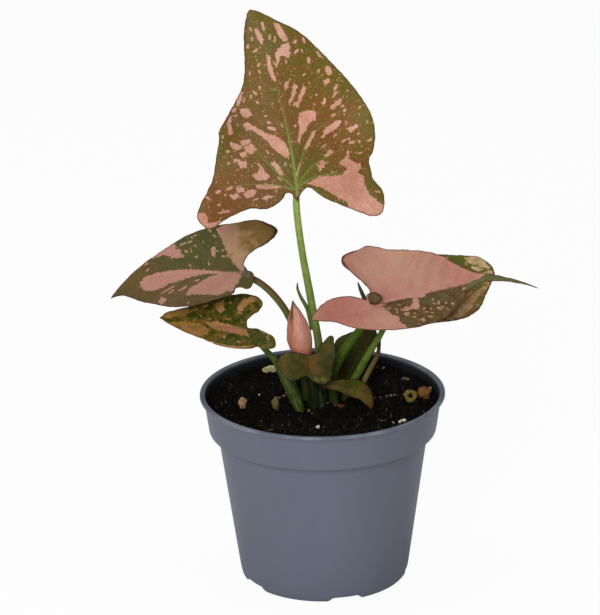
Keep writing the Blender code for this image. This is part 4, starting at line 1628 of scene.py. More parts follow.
@dataclass(frozen=True)
class Studio:
    """A pale floor, soft lights and the camera."""

    elevation: float = 0.3540
    distance: float = 1600.0
    roll: float = -0.0152
    target: Place = (-10.273, 0.0, 137.596)
    lens: float = 193.97
    floor_colour: str = "#f4f4f4"
    floor_radius: float = 9.0
    glow: float = 0.95
    even: float = 0.25

    def floor(self) -> None:
        """Lay the white floor that keeps the plant's shadow."""
        material = bpy.data.materials.new("studio_floor")
        material.use_nodes = True
        material.node_tree.nodes.clear()
        add = partial(add_node, material.node_tree)
        seen = add("LightPath", out="Is Camera Ray")
        matt = add("BsdfDiffuse", self.floor_colour)
        share = add("Math:MULTIPLY", seen, self.glow)
        add("OutputMaterial", add("MixShader", share, matt, add("Emission", WHITE, 1.0)))
        work = bmesh.new()
        bmesh.ops.create_circle(work, cap_ends=True, segments=96, radius=self.floor_radius)
        mesh = settle(work, "floor")
        mesh.materials.append(material)
        stand("floor", mesh)

    def world(self) -> None:
        """Surround everything with even white light."""
        world = bpy.data.worlds.new("studio")
        bpy.context.scene.world = world
        world.use_nodes = True
        world.node_tree.nodes.clear()
        add = partial(add_node, world.node_tree)
        rays = add("LightPath", out="Is Camera Ray")
        seen = add("Math:MAXIMUM", rays, rays.node.outputs["Is Transmission Ray"])
        add("OutputWorld", add("MixShader", seen, add("Background", WHITE, self.even),
                               add("Background", WHITE, 1.0)))

    def camera(self) -> None:
        """Set the camera up."""
        rise, tilt = self.elevation, self.roll
        ahead = Vector((0.0, math.cos(rise), -math.sin(rise)))
        up = Vector((0.0, math.sin(rise), math.cos(rise)))
        right = Vector((1.0, 0.0, 0.0))
        side = right * math.cos(tilt) + up * math.sin(tilt)
        head = up * math.cos(tilt) - right * math.sin(tilt)
        place = placed(Vector(self.target) - ahead * self.distance)
        data = bpy.data.cameras.new("camera")
        data.lens, data.sensor_width, data.clip_end = self.lens, 36.0, 50.0
        camera = stand("camera", data)
        camera.matrix_world = (Matrix.Translation(place)
                               @ Matrix((side, head, -ahead)).transposed().to_4x4())
        bpy.context.scene.camera = camera

    def build(self) -> None:
        """Set up floor, lights, world and camera."""
        self.floor()
        self.world()
        Lamp("key", (-0.5, -1.8, 1.15), (0.0, 0.0, 0.12), 1.0, 25.5).hang()
        Lamp("top", (-0.2, 0.2, 1.8), (0.0, 0.0, 0.15), 0.9, 9.0).hang()
        self.camera()
        bpy.context.scene.view_settings.view_transform = "Standard"


# ---- the plant's tables ----

GREEN_LEAF = LeafFinish("green_leaf", ("#484a1e", "#524c26", "#624c2a"),
    ("#b48272", "#a98a64", "#7c6032"), rib="#b48c84", rim="#54301f", speck="#9a8c58",
    dot="#b09474", stain="#3a2a18", under="#6c6a48", dots=0.5, ribs=0.6, contrast=1.5, fleck=1.2)
TALL_LEAF = LeafFinish("tall_leaf", ("#6a5c24", "#775828", "#7c5228"),
    ("#c98c76", "#d09a84", "#d8a796"), rib="#86a04e", rim="#5e3c22", speck="#be9c6e",
    dot="#c0906c", stain="#6a2a22", under="#8c6040", specks=1.35, dots=0.8, mottle=6, contrast=1.8,
    ragged=0.6, ribs=0.95, fleck=1.4)
YELLOW_LEAF = LeafFinish("yellow_olive_leaf", ("#3a4210", "#524e18", "#80602a"),
    ("#ba8062", "#b07e50", "#9c7838"), rib="#6f7a38", rim="#664820", speck="#a89048",
    dot="#a87c4c", stain="#7e6334", under="#5c5a30", ragged=1, mottle=3.6, contrast=3, dots=1,
    ribs=0.4)
PINK_LEAF = LeafFinish("pink_leaf", ("#b47668", "#b98673", "#be927c"),
    ("#5f6139", "#56401f", "#5e4824"), rib="#c08488", rim="#5a3224", speck="#a07a5c",
    dot="#aa8062", stain="#5a3222", under="#a07a66", specks=0.6, splash_specks=1.25, contrast=0.9,
    fleck=0.9, ribs=0.85, mottle=8, fleck_tone="#b48a68", ragged=0.65)
CREAM_LEAF = LeafFinish("cream_splashed_leaf", ("#5a5e22", "#6e6028", "#806034"),
    ("#c8ac80", "#b8966c", "#a07a50"), rib="#6f6a3a", rim="#4a341a", speck="#b8a468",
    dot="#c0a478", stain="#a8744e", under="#6c6a48", ragged=0.9, dots=1.2, contrast=2.2, mottle=4,
    ribs=0.3)
SHADE_LEAF = LeafFinish("shade_leaf", ("#343c12", "#423e18", "#58481e"),
    ("#6a6630", "#646028", "#5a5826"), rib="#5c5028", rim="#2c2410", speck="#6e6434",
    dot="#6e6434", stain="#6c4420", under="#2c3014", specks=0.8, ribs=0.4, mottle=3.6,
    contrast=2.2, roughness=0.36, gloss=0.16)

TALL_BLADE = Blade("tall_leaf_blade", (-10.9, 2, 193.9), 100, 66, 0, (-0.14, -0.06), TALL_LEAF,
    Slot.VARIEGATED,
    right=(0, -34, 20, 6, 47, 32, 67, 34, 116, -10, 196, -54, 293, -100, 343, -123, 383, -125,
        409, -100, 419, -55, 413, -3, 379, 57, 379, 101, 377, 155, 399, 186, 424, 301, 415, 387,
        381, 496, 327, 611, 263, 714, 206, 794, 131, 849, 60, 898, 23, 914),
    left=(0, -34, -25, 8, -50, 14, -68, -10, -98, -33, -147, -53, -228, -46, -291, -65, -357, -94,
        -424, -127, -461, -109, -483, -70, -465, -14, -419, 61, -387, 117, -359, 206, -330, 301,
        -326, 331, -288, 378, -193, 493, -153, 543, -103, 648, -63, 772, -5, 888, 23, 914),
    bend=(-0.0004, 0), sweep=-0.002,
    swells=(-22, 74, 18, -9, 41, -7, 12, 4, 38, 13, 6, -3, 44, 36, 12, 3, 33, 62, 12, -2,
        -34, 31, 7, 3, -45, -6, 14, 3),
    veins=((-2, 34, 41, 90, 102, 144, 187, 185, 274, 225, 345, 253), (-3, 47, 38, 161, 86, 250,
        130, 300, 191, 336, 270, 390), (-11, 35, -74, 105, -138, 188, -190, 258, -232, 307),
        (-14, 28, -80, 53, -168, 67, -270, 72, -374, 64), (1, 27, 52, 69, 147, 89, 252, 83,
        349, 23)), reach=56, vein_gap=10,
    patches=((-200, 364, -173, 369, -136, 335, -91, 305, -50, 288, -19, 250, -9, 197, -17, 178,
        -53, 201, -85, 236, -104, 271, -136, 306, -174, 336, -196, 324), (-262, 396, -240, 407,
        -257, 369, -256, 316, -276, 316, -279, 357), (79, 395, 122, 409, 159, 397, 151, 365,
        120, 347, 93, 315, 68, 291, 46, 246, 41, 266, 61, 317, 63, 357), (74, 709, 103, 734,
        138, 738, 137, 711, 109, 680, 73, 673, 50, 643, 26, 612, 48, 664, 54, 690), (10, 694,
        24, 679, 16, 639, 15, 599, 12, 552, -2, 567, -10, 601, -2, 641), (95, 543, 105, 526,
        89, 494, 64, 462, 42, 440, 43, 457, 71, 495, 79, 521), (136, 527, 146, 511, 115, 473,
        79, 419, 66, 429, 102, 486), (2, 818, 24, 807, 26, 760, 9, 741, 1, 775), (106, 841,
        131, 833, 135, 792, 142, 750, 114, 748, 103, 787), (169, 298, 201, 322, 246, 347, 274, 349,
        261, 323, 223, 299, 179, 282), (294, 307, 338, 323, 344, 309, 302, 287), (234, 412,
        271, 445, 308, 454, 286, 427, 240, 401), (282, 620, 300, 611, 299, 584, 272, 570,
        265, 596), (241, 546, 280, 560, 268, 535, 240, 520), (-196, 439, -154, 438, -149, 404,
        -174, 387, -198, 404), (-281, 282, -240, 267, -226, 246, -258, 238, -283, 258), (-232, 284,
        -182, 289, -185, 269, -226, 257), (-218, 254, -182, 266, -161, 236, -191, 214, -216, 231),
        (-249, 228, -213, 227, -206, 205, -240, 203), (-263, 184, -219, 187, -221, 152, -254, 152),
        (-209, 113, -180, 122, -165, 143, -145, 131, -117, 102, -140, 85, -178, 86), (-105, 170,
        -80, 169, -66, 143, -52, 105, -69, 102, -91, 132), (-286, 59, -250, 61, -243, 37,
        -275, 36), (-322, 29, -280, 32, -267, 14, -304, 5), (-257, 26, -215, 47, -181, 38,
        -205, 13, -237, 7), (-176, 0, -135, 12, -105, 4, -149, -11), (-191, 65, -142, 67, -86, 57,
        -70, 41, -132, 41, -184, 48), (-205, 472, -168, 526, -158, 515, -180, 475, -202, 452),
        (57, 52, 92, 73, 146, 83, 199, 84, 243, 96, 257, 122, 220, 137, 229, 154, 270, 164,
        288, 146, 328, 132, 331, 112, 307, 93, 331, 71, 365, 42, 362, -18, 414, -40, 425, -90,
        380, -135, 320, -125, 261, -90, 205, -51, 162, -22, 112, 14, 75, 35), (-485, -50,
        -444, -48, -434, -81, -441, -100, -403, -96, -370, -92, -410, -140, -465, -125, -490, -80),
        (117, 303, 140, 308, 109, 262, 76, 215, 62, 221, 95, 269), (135, 160, 158, 156, 148, 129,
        123, 108, 121, 130), (185, 213, 208, 204, 173, 175, 156, 182), (200, 441, 222, 464,
        221, 440, 202, 421), (47, 543, 74, 557, 56, 518, 40, 515)),
    flecks=((5, 4, 8, 98, 33, 152, 106, 669, 126, 693, 171, 234, 155, 223, -366, -55, -380, -55,
        379, 407, 369, 399, 161, 584, 149, 575, -372, -16, -381, -16, 186, 693, 188, 702,
        90, 644, 91, 653, -221, 407, -230, 404, 169, 540, 165, 537, 342, 491, 337, 487,
        185, 480, 181, 476, -82, 392, -90, 392, 45, 336, 41, 332, 341, 278, 337, 275,
        338, 236, 340, 244), (6, 6, 46, 812, 52, 843, -256, 190, -273, 193, 214, 738, 216, 756,
        176, 747, 165, 738, -419, 15, -429, 25, -73, 357, -83, 361, 303, 397, 297, 391,
        -295, 236, -304, 237, -106, 458, -106, 464, -314, 303, -311, 310, 240, 414, 260, 424,
        280, 500, 300, 520, -360, -50, -330, -50), (6, 5, -146, 136, -167, 167, 168, 702, 148, 688,
        270, 250, 254, 242, 397, 244, 380, 240, 55, 766, 63, 780, -60, 736, -52, 746,
        -35, 649, -46, 639, 247, 379, 233, 370, 230, 591, 239, 601, 172, 277, 163, 272,
        -306, 178, -302, 182), (7, 6, -305, 64, -328, 56, 311, 239, 292, 236), (5, 5,
        263, 463, 286, 488, -42, 709, -22, 719, -74, 525, -74, 538, 273, 170, 259, 165,
        -68, 80, -81, 94, 397, -12, 381, -8, -13, 813, -15, 825, -51, 604, -49, 616,
        299, 418, 291, 412, -342, 28, -339, 31), (8, 7, 265, 668, 261, 685), (8, 8,
        -59, 326, -83, 334, -219, 439, -229, 430), (7, 7, -365, 50, -379, 45, -102, 503, -106, 513,
        272, 185, 276, 194, 200, 640, 206, 660), (4, 4, 75, 752, 85, 774, -169, 468, -158, 489,
        -187, 0, -208, -5, -28, 765, -22, 779, -130, 485, -124, 499, -15, 334, -23, 351,
        -109, 213, -115, 227, -41, 148, -37, 160, 339, 186, 323, 183, 61, 432, 72, 444,
        144, 354, 150, 363, 134, 84, 116, 81, 394, 323, 393, 334, 294, 258, 282, 255,
        190, 100, 181, 100), (4, 3, 235, 282, 219, 271), (3, 3, -98, 600, -91, 619,
        -260, 65, -279, 66), (9, 8, 11, 760, 7, 800)),
    holes=((150, 99, 200, 112, 246, 99, 230, 86, 180, 83), (332, 32, 336, 80, 440, 80, 440, -85,
        395, -66, 352, -26), (61, 53, 120, 30, 194, -18, 244, -52, 244, -90, 110, -40, 56, 20)),
    stains=(-65, 2, 6, -5, -28, 17, -5, -28, 17, 76, 38, 7),
    tints=(-34, 26, 10, -0.5, -38, -2, 14, 0.9, 30, 66, 14, -0.7, 42, 32, 9, -0.9, 6, 84, 14, -0.9,
        -18, 58, 12, -0.5, 38, 52, 8, -0.8, 12, 2, 10, -0.7, 22, 30, 12, 0.5, -22, 0, 12, 0.7,
        -4, 14, 8, -0.8, 7, 14, 8, -0.9, 40, 0, 6, -1.4),
    blushes=(-12, 32, 10, 0.2, 10, 70, 10, 0.5, 26, 2, 14, -0.5, -44, -9, 8, -0.4),
    lights_and_shades=(-14, 2, 14, -0.16, -38, -6, 12, -0.1, -24, 40, 8, -0.12, -24, 22, 12, -0.06,
        26, 60, 10, 0.16, 39, 34, 10, 0.18, 12, 84, 8, 0.08, 28, 2, 8, -0.12, 40, 0, 5, -0.1,
        36, 16, 8, 0.12, 20, 40, 12, 0.1, 8, 20, 6, -0.08, -20, 38, 6, -0.08))

UPPER_LEFT_BLADE = Blade("upper_left_leaf_blade", (-37.5, 4, 154.3), 172, 0, 32, (0.16, 0.16),
    GREEN_LEAF, Slot.GREEN,
    right=(20, -17, 51, 0, 93, -15, 125, -50, 164, -106, 205, -140, 242, -145, 262, -106, 283, -36,
        273, 57, 269, 137, 254, 220, 218, 307, 164, 381, 64, 514, -8, 582, -93, 629, -126, 639),
    left=(20, -17, 2, -48, -37, -58, -86, -55, -111, -34, -101, -3, -110, 22, -137, 23, -158, 47,
        -199, 160, -219, 250, -223, 328, -183, 461, -119, 582, -126, 639), bend=(-0.0022, -0.002),
    swells=(24, -6, 12, 2, -20, 22, 12, -1.5, 26, 26, 14, -1.5),
    veins=((0, 10, 80, 50, 160, 100, 240, 140), (0, 10, 100, -5, 180, -40, 230, -90), (-5, 10,
        -70, 30, -130, 100, -180, 200)), reach=50, vein_gap=9,
    patches=((91, 472, 127, 435, 158, 400, 186, 362, 142, 347, 134, 320, 99, 318, 84, 328, 98, 365,
        108, 396, 101, 437), (-39, 503, -8, 489, 9, 450, 20, 368, 23, 285, 16, 190, 3, 95, -2, 25,
        -21, 2, -54, 18, -29, 68, -10, 117, -8, 164, -14, 210, -29, 255, -51, 311, -67, 355,
        -94, 387, -109, 432, -104, 474, -73, 495), (-130, 261, -107, 254, -85, 230, -55, 193,
        -28, 161, -10, 117, -29, 68, -44, 20, -65, 8, -87, 28, -132, 31, -129, 66, -156, 98,
        -144, 158, -145, 204, -138, 240), (247, 158, 272, 120, 300, 20, 300, -80, 270, -160,
        200, -160, 150, -120, 111, -45, 74, -16, 39, -10, 6, 0, 38, 41, 84, 75, 136, 104, 177, 120,
        213, 144), (142, 174, 144, 151, 112, 143, 80, 150, 106, 167), (-184, 393, -158, 377,
        -167, 354, -194, 356, -210, 375)),
    flecks=((6, 6, 176, 304, 165, 325, -89, 269, -105, 281, 183, 277, 179, 287),
        (8, 8, 98, 309, 99, 320), (8, 7, -139, 241, -138, 256), (7, 7, 123, 292, 128, 298), (5, 5,
        -47, 209, -53, 226, 212, 168, 201, 158, 245, 195, 234, 185, 92, 235, 93, 244,
        219, 257, 216, 264, 88, 100, 89, 110), (5, 4, -110, 328, -131, 348, 96, 84, 85, 82,
        209, 277, 203, 274, 124, 112, 119, 110, 91, 360, 93, 368, 45, 267, 40, 265,
        -191, 242, -199, 244), (6, 5, 71, 484, 64, 493, 37, 475, 30, 481), (4, 4, 54, 174, 43, 170,
        181, 215, 175, 218, 124, 510, 50, 546, 154, 250, 158, 260), (4, 3, 144, 277, 120, 267),
        (4, 5, -130, 382, -86, 330, -116, 300, -96, 276)),
    stains=(24, -9, 5, 90, -16, 5, 90, -16, 5, 160, -100, 6, 160, -104, 8, 205, -140, 12,
        205, -140, 14, 246, -144, 18, 246, -144, 16, 284, -36, 5),
    tints=(-16, 36, 16, 0.9, -20, 20, 10, 0.7, 16, 24, 12, -0.6, 2, 54, 8, 0.7),
    blushes=(-6, 40, 10, -1.2, -8, 22, 12, -1.2, -6, 6, 6, -0.6, 12, 37, 6, -1, 2, 26, 6, -0.8,
        25, -10, 6, 1.3, 18, -7, 5, 0.8, 26, 0, 5, 0.9, 18, 2, 3, 0.4, 22, 12, 5, -0.5,
        -10, 12, 4, 0.3),
    lights_and_shades=(-19, 22, 8, -0.2, 24, -12, 5, -0.25, -3, 54, 7, 0.14, -9, 6, 6, 0.06, 22, 12, 5, 0.06,
        -9, 14, 6, -0.08))

LOWER_LEFT_BLADE = Blade("lower_left_leaf_blade", (-36, -5, 129.3), 176, 3, 30, (0.1, 0.12),
    YELLOW_LEAF, Slot.GREEN,
    right=(0, -5, 34, 3, 65, -14, 99, -50, 137, -66, 162, -55, 176, -24, 178, 88, 157, 193,
        112, 290, 72, 401, 42, 427),
    left=(0, -5, 2, -48, -16, -88, -38, -129, -85, -147, -111, -137, -114, -90, -105, -57,
        -128, -30, -142, 36, -129, 114, -93, 194, -42, 300, 5, 374, 42, 427),
    bend=(-0.001, -0.004), swells=(-10, -8, 7, -2, 16, 2, 8, 2),
    veins=((0, 0, 45, -25, 90, -45, 135, -48), (0, 0, 50, 40, 100, 80, 150, 110)), reach=40,
    vein_gap=7,
    patches=((19, 201, 31, 150, 17, 103, 3, 45, -12, 0, -54, -15, -49, 29, -37, 75, -29, 122,
        -13, 169), (130, 159, 148, 126, 96, 117, 76, 135, 96, 158), (99, 58, 137, 38, 170, -11,
        156, -42, 114, 17, 90, 27, 81, 49), (56, 420, 96, 352, 100, 295, 78, 277, 55, 337,
        37, 388), (23, 311, 8, 229, -17, 181, -57, 188, -74, 227, -96, 185, -117, 125, -130, 33,
        -105, -39, -140, -3, -146, 78, -98, 185, -42, 290, 15, 380), (-5, -59, -9, -95, -30, -115,
        -28, -96, -17, -66)),
    tints=(-6, 14, 7, 0.3, -3, 26, 8, 0.6, 12, 12, 9, -0.5, -6, -9, 6, -0.7, -8, 6, 5, -0.8),
    blushes=(-2, 8, 6, -1, -9, 14, 9, 0.5, 8, 36, 9, 0.4, 2, 32, 8, 0.5),
    flecks=((5, 5, 93, 248, 84, 282, 132, 87, 134, 96), (6, 6, -62, 103, -74, 103), (4, 4,
        93, 174, 82, 170, 120, 200, 110, 220, -40, -100, -60, -110), (5, 4, 41, 180, 45, 189,
        60, 300, 54, 330), (4, 3, 61, 231, 49, 224), (3, 3, 44, 86, 43, 105)),
    lights_and_shades=(14, 12, 9, 0.12, -10, 10, 6, 0.1, 4, 4, 5, -0.1))

RIGHT_BLADE = Blade("right_leaf_blade", (28.2, -4, 140.8), 13, 8, -34, (0.14, 0.14), PINK_LEAF,
    Slot.PINK,
    right=(-30, -60, -40, -80, -58, -124, -62, -158, -55, -220, -32, -268, 6, -313, 84, -366,
        91, -338, 95, -254, 139, -167, 172, -51, 193, 41, 201, 139, 177, 262, 149, 317, 84, 398,
        37, 444, 10, 501, 8, 555, 28, 625, 79, 725, 115, 775),
    left=(-30, -60, -56, -49, -67, -30, -105, -40, -194, -94, -230, -118, -264, -119, -288, -92,
        -301, -12, -305, 29, -254, 125, -237, 196, -192, 341, -83, 460, -53, 511, -29, 566,
        -3, 634, 40, 697, 115, 775), bend=(-0.0007, 0.008),
    swells=(-26, 16, 14, 2, 18, 30, 12, -1.5),
    veins=((4, 9, -28, 36, -83, 112, -146, 191, -191, 239), (4, 9, -76, -1, -157, -29, -232, -67),
        (20, -4, 25, -82, 34, -171, 48, -260)), reach=52, vein_gap=8,
    patches=((22, 4, 6, 43, 8, 94, 12, 144, 23, 192, 22, 223, -1, 236, -2, 287, -2, 357, -4, 445,
        -16, 500, -40, 580, 20, 750, 140, 820, 100, 680, 40, 540, 60, 470, 120, 410, 190, 330,
        240, 240, 240, 120, 192, 80, 146, 59, 116, 60, 91, 34, 56, 15),),
    holes=((59, 109, 63, 130, 54, 146, 21, 163, 18, 187, 46, 183, 76, 179, 92, 162, 82, 136,
        96, 110, 76, 94), (96, 94, 103, 117, 125, 105, 114, 91), (154, 157, 151, 177, 171, 178,
        174, 162)),
    flecks=((6, 6, 82, 271, 68, 276, 105, 261, 112, 269), (5, 5, 31, 410, 23, 417), (5, 4,
        94, 334, 102, 343, -25, 335, -24, 343, 54, 251, 48, 253, 86, 307, 81, 309,
        105, 225, 99, 227, 88, 59, 82, 61, 118, 140, 111, 143, 146, 200, 152, 216), (4, 4,
        99, 190, 92, 197, 134, 126, 139, 136, 126, 220, 130, 230), (3, 3, 117, 191, 120, 205,
        60, 60, 72, 66, 40, 80, 46, 90), (4, 3, 120, 300, 130, 310)),
    stains=(-36, -64, 5, -62, -130, 3, -304, -20, 7, -288, -94, 11, -288, -94, 11, -262, -121, 9,
        -262, -121, 9, -194, -96, 7, -194, -96, 7, -105, -41, 8, -105, -41, 8, -66, -30, 7,
        2, 12, 5, 30, 44, 6),
    tints=(-16, 12, 16, 0.5, 4, -22, 10, -0.9, -4, 4, 7, -0.7, -6, 40, 9, -0.3, 8, -8, 8, -0.2),
    blushes=(0, 66, 12, -1.6, 0, 50, 5, -0.9, 14, 12, 8, 0.6, 17, 26, 6, 0.8, 4, 20, 8, -0.2),
    quilt=0.45,
    # painted shade along the crease up from the stalk, among the blade's own lighter and darker
    # patches
    lights_and_shades=(-7, 17, 4, -0.08, -12, 26, 5, -0.08, -16, 34, 4, -0.06, -20, 0, 10, 0.04,
        10, -18, 8, 0.03, -26, 12, 8, 0.05, -8, 8, 4, 0.06))

REAR_RIGHT_BLADE = Blade("rear_right_leaf_blade", (38.3, 9, 134.8), 30, 3, -33, (0.08, 0.08),
    CREAM_LEAF, Slot.VARIEGATED,
    right=(0, -10, 36, -30, 81, -71, 122, -66, 147, -11, 159, 89, 171, 180, 176, 250, 166, 322,
        134, 390, 63, 470, 18, 523, -45, 592),
    left=(0, -10, -35, -20, -80, -60, -131, -59, -172, -9, -202, 92, -223, 223, -222, 335,
        -191, 466, -162, 560, -127, 590, -87, 602, -45, 592), bend=(-0.0012, 0.002),
    veins=((0, 10, 60, 80, 120, 140, 160, 200), (0, 10, -70, 60, -140, 140, -200, 220)), reach=48,
    vein_gap=8,
    patches=((-168, 473, -176, 522, -164, 568, -127, 580, -92, 583, -109, 549, -124, 505,
        -139, 483), (-117, 486, -108, 517, -87, 547, -80, 512, -97, 483), (-79, 558, -68, 588,
        -52, 581, -60, 551), (-8, 550, 6, 492, 40, 407, 86, 333, 132, 257, 160, 167, 166, 200,
        162, 262, 126, 342, 60, 431, 26, 502)),
    flecks=((8, 8, -62, 517, -63, 566), (7, 7, -108, 547, -89, 573), (7, 6, -9, 493, -11, 517),
        (5, 5, 41, 373, 28, 405, -134, 464, -145, 469, -102, 533, -108, 532),
        (6, 6, 6, 367, 0, 375), (4, 3, 120, 269, 105, 292, 136, 310, 126, 334),
        (4, 4, 90, 380, 74, 406)),
    tints=(14, 34, 6, 0.9, 14, 20, 14, 0.8, -16, 44, 10, -0.8, 4, 50, 6, -0.2),
    blushes=(4, 38, 6, 0.9, -12, 54, 10, -0.6, 0, 48, 5, 0.5),
    lights_and_shades=(4, 46, 8, 0.3, -12, 46, 8, 0.1, 1, 38, 5, 0.15, 13, 36, 4, -0.15))

LOW_FRONT_BLADE = Blade("low_front_leaf_blade", (-6.8, -5, 114.4), -78, -46, 10, (0.8, -0.1),
    SHADE_LEAF, Slot.GREEN,
    right=(0, -5, 38, -15, 70, -27, 103, -26, 133, -14, 156, 13, 155, 40, 134, 86, 107, 121,
        69, 121, 47, 108, 23, 110, 5, 121, -16, 145, -47, 164),
    left=(0, -5, -36, -11, -64, -46, -103, -68, -111, -37, -115, 8, -95, 77, -77, 143, -47, 164),
    curl=(0, -0.008), swells=(-10, -4, 6, 1.5), reach=16, vein_gap=4.5, step=0.5, quilt=0.12,
    waver=0.5, stains=(4, 0, 3, -16, 60, 7, -16, 60, 7, -30, 100, 1),
    flecks=((9, 9, -44, 132, -52, 144), (5, 5, -16, 118, -24, 134), (2.5, 2.5, 66, 122, 47, 109),
        (2.5, 3.5, 47, 109, 23, 111), (3.5, 3.5, 23, 111, 0, 128), (3, 3, -82, -56, -102, -66)),
    tints=(0, 3, 3, 1, -1.6, 7, 3, 0.9, 12, 6, 4, 0.5, -9, 4, 4, -0.3, 7, 5, 4, -0.2,
        -8, 12, 4, -0.5),
    # a painted highlight on the upper edge, darker spots on the folded left lobe
    lights_and_shades=(-10, 8, 5, -0.35, -8, -3, 4, 0.25, 5, 8, 5, -0.1, 11, 0, 3, 0.45))

DROOPING_BLADE = Blade("drooping_leaf_blade", (0.3, -8, 99.3), -7.4, -1.6, -48, (-0.1, -0.1),
    SHADE_LEAF, Slot.GREEN, right=(0, -5, 12, 35, 16, 83, 32, 132, 36, 180, 53, 209, 70, 234),
    left=(0, -5, -22, 13, -39, 30, -55, 100, -64, 162, -54, 200, -25, 226, 27, 245, 58, 242,
        70, 234), bend=(-0.016, 0), reach=20, vein_gap=5, step=0.5, quilt=0.1,
    stains=(35, 226, 6, 64, 232, 6),
    tints=(-1, 5, 4, 0.7, -3, 12, 3, -1, 1, 14, 3, 0.5, 2, 20, 4, 1),
    # painted highlights along the top edge
    lights_and_shades=(-1, 5, 4, 0.2, -3, 12, 5, 0.35, 2, 18, 5, 0.6, -4.5, 17, 2, 0.6))

UPRIGHT_BACK_BLADE = Blade("upright_back_leaf_blade", (11.3, 14, 93), 12.6, 64.4, -66, (0.3, 0.2),
    SHADE_LEAF, Slot.GREEN, right=(0, -64, 20, -58, 44, 40, 49, 147, 51, 233, 43, 291, 1, 319),
    left=(0, -64, -24, -58, -60, 0, -89, 55, -119, 126, -126, 173, -109, 211, -80, 241, -36, 284,
        1, 319), reach=24, vein_gap=6, quilt=0.2,
    tints=(-6, 12, 6, 0.3, -9, 20, 6, -0.6, 2, 12, 6, -0.8), stains=(-30, 20, 6, -50, 100, 1),
    # painted sheen on the left lobe, darker below it
    lights_and_shades=(-9, 19, 6, 1.1, -4, 6, 8, -0.35))

BLADES = (TALL_BLADE, UPPER_LEFT_BLADE, LOWER_LEFT_BLADE, RIGHT_BLADE, REAR_RIGHT_BLADE,
          LOW_FRONT_BLADE, DROOPING_BLADE, UPRIGHT_BACK_BLADE)

FOLD_GREEN = LeafFinish("fold_green", ("#4e5034", "#5f4f35", "#7a5a38"),
    ("#8c6a48", "#96704c", "#8c6a48"), rib="#7a7048", rim="#6e4c34", speck="#b8a880",
    dot="#cbbd96", stain="#6e4c34", under="#5a5438", specks=1.2)
FOLD_OLIVE = LeafFinish("fold_olive", ("#4c4426", "#5c4a2d", "#66502e"),
    ("#8c6a48", "#96704c", "#8c6a48"), rib="#7a7048", rim="#2c2212", speck="#8c7c50",
    dot="#a8986c", stain="#2c2212", under="#3c321c", specks=0.8, rim_width=0.9)

FOLDS = (
    LobeFold("upper_left_leaf_fold", (-36, 1.2, 152.9), (2.5, 2.7), (0.1, -0.9, 0.3), FOLD_GREEN,
        Slot.GREEN),
    LobeFold("right_leaf_fold", (25.4, -6.4, 144), (3.5, 3), (-0.3, -0.9, 0.3), FOLD_OLIVE,
        Slot.PINK, cup=1.1),
)

